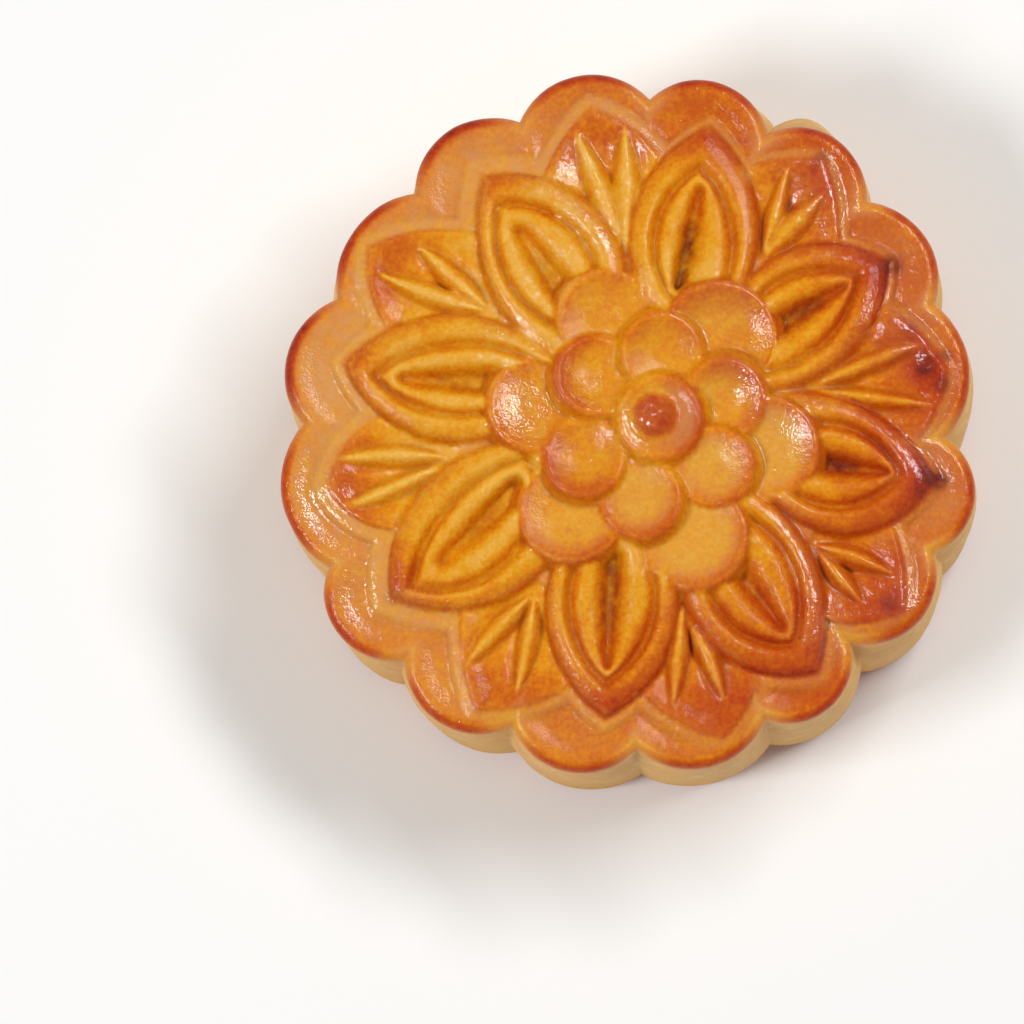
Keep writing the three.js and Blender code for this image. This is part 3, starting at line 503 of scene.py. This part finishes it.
def mould_top(x, y):
    """The whole top, seen from above."""
    angle, inside = np.arctan2(y, x), inside_rim(x, y)
    from_flower = distance_from(FLOWER_CENTRE, x, y)
    ground = DOME_HEIGHT * (1 - smooth_step(DOME_INNER, DOME_OUTER, from_flower)) - BORDER_DROP
    height = EDGE_ROUNDING * (round_up(inside, EDGE_ROUNDING) - 1)
    height -= BORDER_DROP * smooth_step(EDGE_ROUNDING, EDGE_ROUNDING + BORDER_SLOPE, inside)
    to_right = smooth_step(*HEAT_AND_SIDE_SHADE.right_range, x - HEAT_AND_SIDE_SHADE.lean * y)
    at_rim = smooth_step(*HEAT_AND_SIDE_SHADE.rim_range, from_flower)
    # browner to the right: partly baking, partly painted shade
    brown = HEAT_AND_SIDE_SHADE.ground + HEAT_AND_SIDE_SHADE.right * to_right + at_rim * (HEAT_AND_SIDE_SHADE.rim + HEAT_AND_SIDE_SHADE.rim_right * to_right)
    border_brown = lobe_values(angle, BORDER_BROWN)
    top = Moulding(height, border_brown, lobe_values(angle, BORDER_PALE))
    add_ledges(top, ground, border_brown, LEDGE_PALE - LEDGE_PALE_LOSS * to_right, x, y)
    add_small_leaves(top, ground, brown, x, y)
    add_leaves(top, ground, brown, x, y)
    add_petals(top, OUTER_PETALS, OUTER_RING, x, y)
    add_petals(top, INNER_PETALS, INNER_RING, x, y)
    add_cup(top, x, y)
    add_bud(top, x, y)
    add_burnt_spots(top, x, y)
    return top


def lobe_fullness(angle):
    """0 in the notches between the lobes, 1 along the middle of each lobe."""
    starts = NOTCH_ANGLES[::-1]
    degrees = (np.degrees(angle) - starts[0]) % 360 + starts[0]
    place = np.interp(degrees, starts, np.arange(LOBE_COUNT + 1)) % 1
    return smooth_step(0, NOTCH_SHARE, place) * smooth_step(0, NOTCH_SHARE, 1 - place)


def edge_browning(angle, inset):
    """The brown band along the lobes' edge, from 0 to 1, by the distance inside the outline."""
    width = lobe_values(angle, BAND_WIDTH)
    fullness = IN_NOTCH_BROWN + (1 - IN_NOTCH_BROWN) * lobe_fullness(angle)
    fading = 1 - smooth_step(BAND_RANGE[0] * width, BAND_RANGE[1] * width, inset)
    return lobe_values(angle, BAND_BROWN) * fullness * fading


# ---------------- mesh of the cake

SIDE = 272  # squares along each side of the grid that is wrapped over the top
ROUND_RADIUS = 36.0  # its rings are circles of this size until they near the rim,
ROUND_POWER = 6  # and the higher this is, the nearer
EDGE_RINGS, WALL_RINGS, FOOT_RINGS = 6, 9, 4
WALL_SPACING = 1.15  # above 1, the wall's rings lie closer together under the rim
UNDERSIDE_RINGS = (0.8, 0.4)  # the radius of each ring under the foot, as a share of the one before
WALL_TOP = RIM_HEIGHT - EDGE_ROUNDING

ATTRIBUTES = ("browning", "paleness_and_sheen", "burning", "crest", "hollow", "glaze", "looseness")
SOFTENING = Values(height=5, slope=3, colour=4, burnt=2)  # rounds of averaging
CREST_REACH, HOLLOW_REACH = 6, 9  # rounds that a height is compared with to find crests and hollows
CREST_RANGE, HOLLOW_RANGE = (0.01, 0.12), (0.03, 0.24)  # a height's difference that makes one, in mm
CREST_LOSS = Values(share=0.7, right_range=(-10, 20), flower_range=(14, 18))  # crests count less on the right and on the flower: less painted highlight, fewer specks and pimples
STEEP_BROWN_AND_SHADE, STEEP_RANGE, STEEP_FROM_FLOWER = 0.12, (0.3, 1.6), (12, 18)  # steep sides are browner: partly baked colour, partly painted shade on slopes
INNER_RANGE = (2.0, 3.0)  # the moulding begins this far inside the rim
NOTCH_PALE, NOTCH_PALE_RANGE = 0.6, (1.0, 3.0)  # the notches are paler near the rim

GLAZE = 0.22  # how thick the egg is brushed on
THIN_IN_EYE = Values(share=0.5, edge=0.4, flower_range=(17, 19))  # it is thinner inside the leaves' eyes,
THIN_IN_HOLLOW = 0.5  # and in hollows
THICK_GLAZE = [
    (-10.5, 27.2, 2.4), (-6.0, 24.3, 2.4), (-3.2, 21.3, 1.8), (-7.6, 30.2, 3.0), (-2.6, 31.4, 1.5),
    (1.0, 32.2, 1.5), (10.5, 12.0, 4.5), (12.0, 5.0, 3.0), (17.5, 0.5, 4.5), (-12.5, 2.5, 3.5),
    (30.5, 11.0, 4.0), (33.0, -3.0, 4.0), (17.6, -11.5, 2.6), (19.6, -15.5, 2.8), (21.0, -19.5, 2.8),
    (21.0, -23.5, 2.8), (-37.0, -8.0, 4.5), (-34.0, -19.0, 5.5), (21.0, 26.0, 5.0), (30.0, -20.0, 3.5),
    (-26.0, 8.0, 3.0), (0.5, 0.0, 4.0), (-15.0, 10.5, 3.0),
]  # x, y, reach
BLISTERS = [
    (29.3, 10.7, 2.5, 0.80), (33.4, 7.8, 0.9, 0.35), (20.3, 27.2, 1.3, 0.30), (27.5, -19.0, 1.3, 0.30),
    (-8.9, 28.0, 1.3, 0.25), (21.4, 24.0, 1.0, 0.20),
]  # x, y, reach, height

# The wall's colour.  A range is a depth below the rounded edge, but for the foot's, which are heights.
WALL = Values(
    brown=0.17, low_brown=0.05, low_range=(4, 16), foot_brown=0.62, foot_range=(0.6, 5.0),
    band_range=(-0.6, 1.0), glaze_loss=0.9, glaze_range=(-0.6, 1.6),
    pale=0.8, pale_range=(-0.9, 0.2), flute_pale=0.4, pale_from_foot=(2.0, 8.0),
    firm_height=3,  # the wall is firm at the foot, and loose enough to swell from here up
    underside=(0.6, 0, 0, 0, 0, 0, 0),  # the attributes' values at the middle of the underside
)


def directions(turn):
    """Directions round the rim, clockwise, with the same number of steps between each pair of notches."""
    return np.radians(np.interp((turn % 1) * LOBE_COUNT, np.arange(LOBE_COUNT + 1), NOTCH_ANGLES))


def top_places(side):
    """A square grid wrapped onto the round top: concentric squares become rings, scalloped at the rim."""
    row, column = np.mgrid[0:side + 1, 0:side + 1]
    u, v = 2 * column / side - 1, 2 * row / side - 1
    out = np.maximum(np.abs(u), np.abs(v))
    safe = np.maximum(out, 1e-9)
    quarter = np.select([(v == -out) & (u < out), (u == out) & (v < out), (v == out) & (u > -out)],
                        [(u / safe + 1) / 2, 1 + (v / safe + 1) / 2, 2 + (1 - u / safe) / 2],
                        3 + (1 - v / safe) / 2)
    angle = directions(-quarter / 4)
    radius = out * (ROUND_RADIUS + (rim_radius(angle, EDGE_ROUNDING) - ROUND_RADIUS) * out ** ROUND_POWER)
    return radius * np.cos(angle), radius * np.sin(angle)


def softened(grid, rounds):
    """Baking softens the moulding: each value inside the rim is averaged with its neighbours'."""
    for _ in range(rounds):
        grid = grid.copy()
        across = (grid[:, :-2] + 2 * grid[:, 1:-1] + grid[:, 2:]) / 4
        grid[1:-1, 1:-1] = (across[:-2] + 2 * across[1:-1] + across[2:]) / 4
    return grid


def steepness(x, y, height):
    """The slope of the height at each place of a warped grid, as rise over run."""
    (hu, hv), (xu, xv), (yu, yv) = np.gradient(height), np.gradient(x), np.gradient(y)
    area = xu * yv - xv * yu
    area = np.where(np.abs(area) < 1e-6, 1e-6, area)
    return np.hypot((hu * yv - hv * yu) / area, (hv * xu - hu * xv) / area)


def glaze_on_top(hollow, from_flower, x, y):
    glaze = np.full_like(x, GLAZE)
    for gx, gy, reach in THICK_GLAZE:
        thick = GLAZE + (1 - GLAZE) * np.exp(-((x - gx) ** 2 + (y - gy) ** 2) / reach ** 2)
        glaze = np.maximum(glaze, thick)
    for leaf in LEAVES:
        in_eye = smooth_step(0, THIN_IN_EYE.edge, inside_pointed(leaf["eye"], x, y))
        in_eye = in_eye * smooth_step(*THIN_IN_EYE.flower_range, from_flower)
        glaze *= 1 - THIN_IN_EYE.share * in_eye
    return glaze * (1 - THIN_IN_HOLLOW * hollow)


def top_paints(top, height, x, y):
    """The attributes' values on the top, in their order."""
    angle, inside = np.arctan2(y, x), inside_rim(x, y)
    from_flower = distance_from(FLOWER_CENTRE, x, y)
    inner = smooth_step(*INNER_RANGE, inside)
    # crests, which get a painted highlight colour, and stronger specks and pimples
    crest = smooth_step(*CREST_RANGE, height - softened(height, CREST_REACH))
    # hollows, which get a darker colour, partly pooled egg and partly painted shade, and a thinner glaze
    hollow = smooth_step(*HOLLOW_RANGE, softened(height, HOLLOW_REACH) - height)
    # steep sides browner: partly baked colour, partly painted shade on the slopes
    steep = smooth_step(*STEEP_RANGE, softened(steepness(x, y, height), SOFTENING.slope))
    steep *= STEEP_BROWN_AND_SHADE * inner * smooth_step(*STEEP_FROM_FLOWER, from_flower)
    edge = edge_browning(angle, inside)
    brown = softened(top.brown, SOFTENING.colour) + steep
    in_notch = (1 - lobe_fullness(angle)) * (1 - smooth_step(*NOTCH_PALE_RANGE, inside))
    pale = np.maximum(softened(top.pale, SOFTENING.colour) * (1 - edge), NOTCH_PALE * in_notch)
    on_flower = 1 - smooth_step(*CREST_LOSS.flower_range, from_flower)
    crest *= 1 - CREST_LOSS.share * np.maximum(smooth_step(*CREST_LOSS.right_range, x), on_flower)
    glaze = glaze_on_top(hollow, from_flower, x, y)
    burnt = softened(top.burnt, SOFTENING.burnt)
    return np.maximum(brown, edge), pale, burnt, crest * inner, hollow, glaze, np.ones_like(x)


def rings_below_top(around):
    """The rings from the rim's edge down to the underside: radius, height, and inset from the outline."""
    rings = []
    for k in range(1, EDGE_RINGS + 1):
        tilt = k / EDGE_RINGS * math.pi / 2
        inset = EDGE_ROUNDING * (1 - math.sin(tilt))
        rings.append((rim_radius(around, inset), RIM_HEIGHT - EDGE_ROUNDING * (1 - math.cos(tilt)), inset))
    for k in range(1, WALL_RINGS + 1):
        z = WALL_TOP + (FOOT_ROUNDING - WALL_TOP) * (k / WALL_RINGS) ** WALL_SPACING
        rings.append((wall_radius(around, WALL_TOP - z), z, 0))
    for k in range(1, FOOT_RINGS + 1):
        tilt = k / FOOT_RINGS * math.pi / 2
        z = FOOT_ROUNDING * (1 - math.sin(tilt))
        radius = wall_radius(around, WALL_TOP - z) - FOOT_ROUNDING * (1 - math.cos(tilt))
        rings.append((radius, z, 0))
    for share in UNDERSIDE_RINGS:
        rings.append((rings[-1][0] * share, 0.0, 0))
    return rings


def ring_paints(around, z, inset):
    """The attributes' values on a ring of the rim's edge, the wall or the foot, in their order."""
    depth = WALL_TOP - z
    on_edge = 1 - smooth_step(*WALL.band_range, depth)
    edge_brown = edge_browning(around, np.full_like(around, inset)) * on_edge
    foot_brown = WALL.foot_brown * (1 - smooth_step(*WALL.foot_range, z))
    wall_brown = WALL.brown + WALL.low_brown * smooth_step(*WALL.low_range, depth)
    brown = np.maximum(np.maximum(edge_brown, foot_brown), wall_brown)
    flute_pale = WALL.flute_pale * (1 - lobe_fullness(around))
    pale = np.maximum(WALL.pale * smooth_step(*WALL.pale_range, depth), flute_pale)
    pale *= smooth_step(*WALL.pale_from_foot, z)
    glaze = np.full_like(around, GLAZE * (1 - WALL.glaze_loss * smooth_step(*WALL.glaze_range, depth)))
    loose = np.full_like(around, min(1.0, z / WALL.firm_height))
    none = np.zeros_like(around)
    return brown, pale, none, none, none, glaze, loose


def grid_faces():
    """The top's squares, and the numbers of the points round its edge."""
    index = np.arange((SIDE + 1) ** 2).reshape(SIDE + 1, SIDE + 1)
    squares = np.stack([index[:-1, :-1], index[:-1, 1:], index[1:, 1:], index[1:, :-1]], -1).reshape(-1, 4)
    return squares, np.concatenate([index[0, :-1], index[:-1, -1], index[-1, :0:-1], index[:0:-1, 0]])


def cake_surface():
    """The surface's points, their paints, its four-sided faces and the fan that closes its underside."""
    fine_x, fine_y = top_places(2 * SIDE)
    top = mould_top(fine_x, fine_y)
    fine_height = bump_up(softened(top.height, SOFTENING.height), BLISTERS, fine_x, fine_y)
    grids = top_paints(top, fine_height, fine_x, fine_y)
    x, y, height = (grid[::2, ::2] for grid in (fine_x, fine_y, fine_height))
    points = [np.stack([x, y, RIM_HEIGHT + height], -1).reshape(-1, 3)]
    paints = [np.stack([grid[::2, ::2] for grid in grids], -1).reshape(-1, len(ATTRIBUTES))]

    squares, above = grid_faces()
    quads = [squares]
    around = directions(-np.arange(len(above)) / len(above))
    count = len(points[0])
    for radius, z, inset in rings_below_top(around):
        places = [radius * np.cos(around), radius * np.sin(around), np.full_like(around, z)]
        points.append(np.stack(places, -1))
        paints.append(np.stack(ring_paints(around, z, inset), -1))
        below = count + np.arange(len(around))
        quads.append(np.stack([above, below, np.roll(below, -1), np.roll(above, -1)], -1))
        above, count = below, count + len(around)
    points.append(np.zeros((1, 3)))
    paints.append(np.array([WALL.underside]))
    fan = np.stack([above, np.full_like(above, count), np.roll(above, -1)], -1)
    return np.concatenate(points), np.concatenate(paints), np.concatenate(quads), fan


def add_object(name, data):
    thing = bpy.data.objects.new(name, data)
    bpy.context.scene.collection.objects.link(thing)
    return thing


def build_cake(name):
    """The cake as one closed mesh with its attributes, and how far it was moved to be centred."""
    points, paints, quads, fan = cake_surface()
    middle = (points.min(0) + points.max(0)) / 2
    shift = np.array([-middle[0], -middle[1], 0.0])
    mesh = bpy.data.meshes.new(name)
    mesh.from_pydata(((points + shift) * MM).tolist(), [], quads.tolist() + fan.tolist())
    for column, attribute in enumerate(ATTRIBUTES):
        layer = mesh.attributes.new(attribute, "FLOAT", "POINT")
        layer.data.foreach_set("value", paints[:, column].astype(np.float32))
    mesh.polygons.foreach_set("use_smooth", np.ones(len(mesh.polygons), bool))
    mesh.update()
    return add_object(name, mesh), shift


# ---------------- nodes


def linear(hex_colour):
    """An sRGB hex colour as linear red, green, blue and alpha."""
    channels = [int(hex_colour[i:i + 2], 16) / 255 for i in (1, 3, 5)]
    return [c / 12.92 if c <= 0.04045 else ((c + 0.055) / 1.055) ** 2.4 for c in channels] + [1.0]


def add_node(tree, kind, settings=None, inputs=None):
    """Add a node with its settings, and with its inputs given as values or as the outputs they link to."""
    node = tree.nodes.new(kind)
    for name, value in (settings or {}).items():
        setattr(node, name, value)
    for key, value in (inputs or {}).items():
        if isinstance(value, bpy.types.NodeSocket):
            tree.links.new(value, node.inputs[key])
        else:
            node.inputs[key].default_value = value
    return node


# The crust's colours by browning, from dough that was shielded to the edges that caught the heat.
BROWNING_STOPS = [(0.00, "#fbdcae"), (0.16, "#e9b24c"), (0.32, "#e49e14"), (0.44, "#dd8408"),
                  (0.58, "#cc6208"), (0.72, "#bf4608"), (0.86, "#a82c0e"), (1.00, "#78160c")]
# Laid over the browning: a pale peach that is partly bloom and partly painted sheen, a darker colour in
# hollows that is partly pooled egg and partly painted shade, a painted highlight on crests, and the colour of
# burnt spots.
BLOOM_AND_SHEEN, POOLED_EGG_AND_SHADE, CREST_HIGHLIGHT, BURNT = "#dca466", "#ac4c0a", "#f4c456", "#741c0e"
POOLED_AND_SHADE_SHARE, CREST_HIGHLIGHT_SHARE = 0.55, 0.45
BLOOM_AND_SHEEN_MOTTLE, BURNT_MOTTLE = (2.0, 0.8), (2.5, 0.9)  # how strongly mottles break them up, and their middle
PATCH, MOTTLE, SPECK = 5 * MM, 1.5 * MM, 0.5 * MM  # the widths of the colour's unevenness
UNEVENNESS = 0.26  # how much patches and mottles change the browning
SPECKS, SPECKS_ON_CREST = 0.32, 0.25
PIMPLE, PIMPLE_DEPTH = 0.25 * MM, 0.11 * MM
PIMPLES, PIMPLES_ON_CREST = 0.5, 0.5
WRINKLE, WRINKLE_DEPTH = 0.9 * MM, 0.09 * MM


def baked_crust():
    """Mooncake crust: thin wheat and syrup dough, pressed in a mould, brushed with egg and baked.  The egg
    gives a clear, slightly wrinkled gloss over dough that runs from cream where it was shielded to red-brown
    at edges."""
    material = bpy.data.materials.new("egg_glazed_baked_crust")
    material.use_nodes = True
    tree = material.node_tree
    tree.nodes.clear()
    place = add_node(tree, "ShaderNodeTexCoord").outputs["Object"]
    browning, paleness_and_sheen, burning, crest, hollow, glaze = (
        add_node(tree, "ShaderNodeAttribute", {"attribute_name": name}).outputs["Fac"]
        for name in ATTRIBUTES if name != "looseness")

    # uneven heat in patches and mottles, and the egg's streaks and specks, which are stronger on crests
    specked = add_node(tree, "ShaderNodeMath", {"operation": "MULTIPLY_ADD"},
                       {0: crest, 1: SPECKS_ON_CREST, 2: SPECKS})
    uneven, noises = browning, {}
    for size, strength in ((PATCH, UNEVENNESS), (MOTTLE, UNEVENNESS), (SPECK, specked.outputs[0])):
        noise = add_node(tree, "ShaderNodeTexNoise",
                         inputs={"Vector": place, "Scale": 1 / size, "Detail": 3.0})
        around_zero = add_node(tree, "ShaderNodeMath", {"operation": "SUBTRACT"},
                               {0: noise.outputs["Fac"], 1: 0.5})
        uneven = add_node(tree, "ShaderNodeMath", {"operation": "MULTIPLY_ADD"},
                          {0: around_zero.outputs[0], 1: strength, 2: uneven}).outputs[0]
        noises[size] = around_zero.outputs[0]
    ramp = add_node(tree, "ShaderNodeValToRGB", inputs={"Fac": uneven})
    while len(ramp.color_ramp.elements) < len(BROWNING_STOPS):
        ramp.color_ramp.elements.new(0.5)
    for element, (position, colour) in zip(ramp.color_ramp.elements, BROWNING_STOPS):
        element.position, element.color = position, linear(colour)
    # a pale peach in patches, partly a dull bloom where the glaze is thin and partly painted sheen; in narrow
    # hollows a darker colour, partly pooled egg and partly painted shade; on crests a painted highlight
    bloom, ragged = (add_node(tree, "ShaderNodeMath", {"operation": "MULTIPLY_ADD"},
                              {0: noises[MOTTLE], 1: strength, 2: middle}).outputs[0]
                     for strength, middle in (BLOOM_AND_SHEEN_MOTTLE, BURNT_MOTTLE))
    colour = ramp.outputs["Color"]
    for factor, strength, over in ((paleness_and_sheen, bloom, BLOOM_AND_SHEEN), (hollow, POOLED_AND_SHADE_SHARE, POOLED_EGG_AND_SHADE),
                                   (crest, CREST_HIGHLIGHT_SHARE, CREST_HIGHLIGHT), (burning, ragged, BURNT)):
        share = add_node(tree, "ShaderNodeMath", {"operation": "MULTIPLY", "use_clamp": True},
                         {0: factor, 1: strength})
        colour = add_node(tree, "ShaderNodeMix", {"data_type": "RGBA"},
                          {"Factor": share.outputs[0], 6: colour, 7: linear(over)}).outputs[2]

    # the glaze's wrinkles, and its pimples, which are stronger on crests, break up its highlights
    pimpled = add_node(tree, "ShaderNodeMath", {"operation": "MULTIPLY_ADD"},
                       {0: crest, 1: PIMPLES_ON_CREST, 2: PIMPLES})
    pimples = add_node(tree, "ShaderNodeTexNoise",
                       inputs={"Vector": place, "Scale": 1 / PIMPLE, "Detail": 1.0, "Roughness": 0.5})
    wrinkles = add_node(tree, "ShaderNodeTexNoise",
                        inputs={"Vector": place, "Scale": 1 / WRINKLE, "Detail": 1.0})
    bump = add_node(tree, "ShaderNodeBump",
                    inputs={"Height": wrinkles.outputs["Fac"], "Distance": WRINKLE_DEPTH})
    bump = add_node(tree, "ShaderNodeBump",
                    inputs={"Height": pimples.outputs["Fac"], "Distance": PIMPLE_DEPTH,
                            "Strength": pimpled.outputs[0], "Normal": bump.outputs["Normal"]})
    shader = add_node(tree, "ShaderNodeBsdfPrincipled",
                      inputs={"Base Color": colour, "Roughness": 0.55, "Specular IOR Level": 0.1,
                              "Subsurface Weight": 0.6, "Subsurface Scale": 1.4 * MM,
                              "Subsurface Radius": (1.0, 0.35, 0.1),
                              "Coat Weight": glaze, "Coat Roughness": 0.07, "Coat IOR": 1.7,
                              "Normal": bump.outputs["Normal"], "Coat Normal": bump.outputs["Normal"]})
    add_node(tree, "ShaderNodeOutputMaterial", inputs={"Surface": shader.outputs["BSDF"]})
    return material


def plain_floor():
    """Matt white laminate: an even, slightly warm white with no shine."""
    material = bpy.data.materials.new("matt_white_laminate")
    material.use_nodes = True
    shader = material.node_tree.nodes["Principled BSDF"]
    shader.inputs["Base Color"].default_value = linear("#fafaf8")
    shader.inputs["Roughness"].default_value = 0.8
    return material


def unevenness_tree(material):
    """Geometry Nodes: dough that has risen and settled unevenly, as lumps and a fine grain."""
    tree = bpy.data.node_groups.new("uneven_baked_dough", "GeometryNodeTree")
    tree.interface.new_socket("Geometry", in_out="INPUT", socket_type="NodeSocketGeometry")
    for name in ("Lump size", "Lump height", "Grain size", "Grain height", "Seed"):
        tree.interface.new_socket(name, in_out="INPUT", socket_type="NodeSocketFloat")
    tree.interface.new_socket("Geometry", in_out="OUTPUT", socket_type="NodeSocketGeometry")
    given = add_node(tree, "NodeGroupInput")
    place = add_node(tree, "GeometryNodeInputPosition").outputs[0]
    loose = add_node(tree, "GeometryNodeInputNamedAttribute", {"data_type": "FLOAT"}, {"Name": "looseness"})
    total = None
    for size, height in (("Lump size", "Lump height"), ("Grain size", "Grain height")):
        scale = add_node(tree, "ShaderNodeMath", {"operation": "DIVIDE"}, {0: 1.0, 1: given.outputs[size]})
        noise = add_node(tree, "ShaderNodeTexNoise", {"noise_dimensions": "4D"},
                         {"Vector": place, "W": given.outputs["Seed"], "Scale": scale.outputs[0],
                          "Detail": 1.0})
        centred = add_node(tree, "ShaderNodeMath", {"operation": "SUBTRACT"},
                           {0: noise.outputs["Fac"], 1: 0.5})
        layer = add_node(tree, "ShaderNodeMath", {"operation": "MULTIPLY"},
                         {0: centred.outputs[0], 1: given.outputs[height]})
        if total is not None:
            layer = add_node(tree, "ShaderNodeMath", {"operation": "ADD"}, {0: layer.outputs[0], 1: total})
        total = layer.outputs[0]
    total = add_node(tree, "ShaderNodeMath", {"operation": "MULTIPLY"},
                     {0: total, 1: loose.outputs["Attribute"]})
    offset = add_node(tree, "ShaderNodeVectorMath", {"operation": "SCALE"},
                      {0: add_node(tree, "GeometryNodeInputNormal").outputs[0], "Scale": total.outputs[0]})
    moved = add_node(tree, "GeometryNodeSetPosition",
                     inputs={"Geometry": given.outputs["Geometry"], "Offset": offset.outputs[0]})
    real = add_node(tree, "GeometryNodeRealizeInstances", inputs={"Geometry": moved.outputs[0]})
    painted = add_node(tree, "GeometryNodeSetMaterial",
                       inputs={"Geometry": real.outputs[0], "Material": material})
    add_node(tree, "NodeGroupOutput", inputs={"Geometry": painted.outputs[0]})
    return tree


def grown(base, name, tree, values):
    """A base object's Geometry Nodes result as a plain mesh object; the base is removed."""
    modifier = base.modifiers.new("growth", "NODES")
    modifier.node_group = tree
    for item in tree.interface.items_tree:
        if item.in_out == "INPUT" and item.name in values:
            modifier[item.identifier] = values[item.name]
    bpy.context.view_layer.update()
    mesh = bpy.data.meshes.new_from_object(base.evaluated_get(bpy.context.evaluated_depsgraph_get()))
    base.modifiers.remove(modifier)
    bpy.data.objects.remove(base)
    mesh.name = name
    return add_object(name, mesh)


# ---------------- the piece

blank, shift = build_cake("moulded_blank")
crust = baked_crust()
cake = grown(blank, "mooncake_crust", unevenness_tree(crust),
             {"Lump size": 9 * MM, "Lump height": 0.5 * MM, "Grain size": 0.9 * MM, "Grain height": 0.05 * MM,
              "Seed": 3.0})
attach(cake, "root")
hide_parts("mooncake")

# ---------------- floor, light and camera

FLOOR_SIZE = 6  # in metres
ROOM_LIGHT = 0.25
LOOKED_AT = Vector((0, 0, 0.02))  # the lights look at this place in the middle of the cake, in metres

bpy.ops.mesh.primitive_plane_add(size=FLOOR_SIZE, location=(0, 0, 0))
floor = bpy.context.object
floor.name = "floor"
floor.data.materials.append(plain_floor())

world = bpy.data.worlds.new("soft_white_room")
bpy.context.scene.world = world
world.use_nodes = True
background = world.node_tree.nodes["Background"]
background.inputs["Color"].default_value = linear("#fbfbff")
background.inputs["Strength"].default_value = ROOM_LIGHT


def soft_box(name, bearing, elevation, distance, width, height, watts):
    """A soft light that looks at the cake; its bearing is counter-clockwise from +X, its lengths in metres."""
    across, up = from_polar(elevation, distance)
    x, y = from_polar(bearing, across)
    light = bpy.data.lights.new(name, "AREA")
    light.shape, light.size, light.size_y, light.energy = "RECTANGLE", width, height, watts
    lamp = add_object(name, light)
    lamp.location = (x, y, up)
    lamp.rotation_euler = (LOOKED_AT - lamp.location).to_track_quat("-Z", "Y").to_euler()


soft_box("key_light", bearing=200, elevation=50, distance=1.1, width=0.28, height=0.28, watts=5.4)
soft_box("window_light", bearing=38, elevation=55, distance=1.2, width=0.70, height=0.21, watts=7.9)

ELEVATION, AZIMUTH = math.radians(83.2), math.radians(23)
CAMERA_DISTANCE = 600.0  # from the rim's middle, in mm
FOCAL_LENGTH, SENSOR_WIDTH = 185.2, 36
FARTHEST_VIEW = 10  # in metres
RIM_IN_VIEW = (13.78, 9.795)  # the rim's middle is this far right of and above the view's middle, in mm

back = Vector((math.sin(AZIMUTH) * math.cos(ELEVATION), -math.cos(AZIMUTH) * math.cos(ELEVATION),
               math.sin(ELEVATION)))
right = Vector((0, 1, 0)).cross(back).normalized()
up = back.cross(right)
middle = Vector((shift[0], shift[1], RIM_HEIGHT)) - RIM_IN_VIEW[0] * right - RIM_IN_VIEW[1] * up
camera = add_object("camera", bpy.data.cameras.new("camera"))
camera.data.lens = FOCAL_LENGTH
camera.data.sensor_width = SENSOR_WIDTH
camera.data.clip_end = FARTHEST_VIEW
camera.matrix_world = (Matrix.Translation((middle + CAMERA_DISTANCE * back) * MM)
                       @ Matrix((right, up, back)).transposed().to_4x4())
bpy.context.scene.camera = camera
bpy.context.scene.view_settings.view_transform = "Standard"
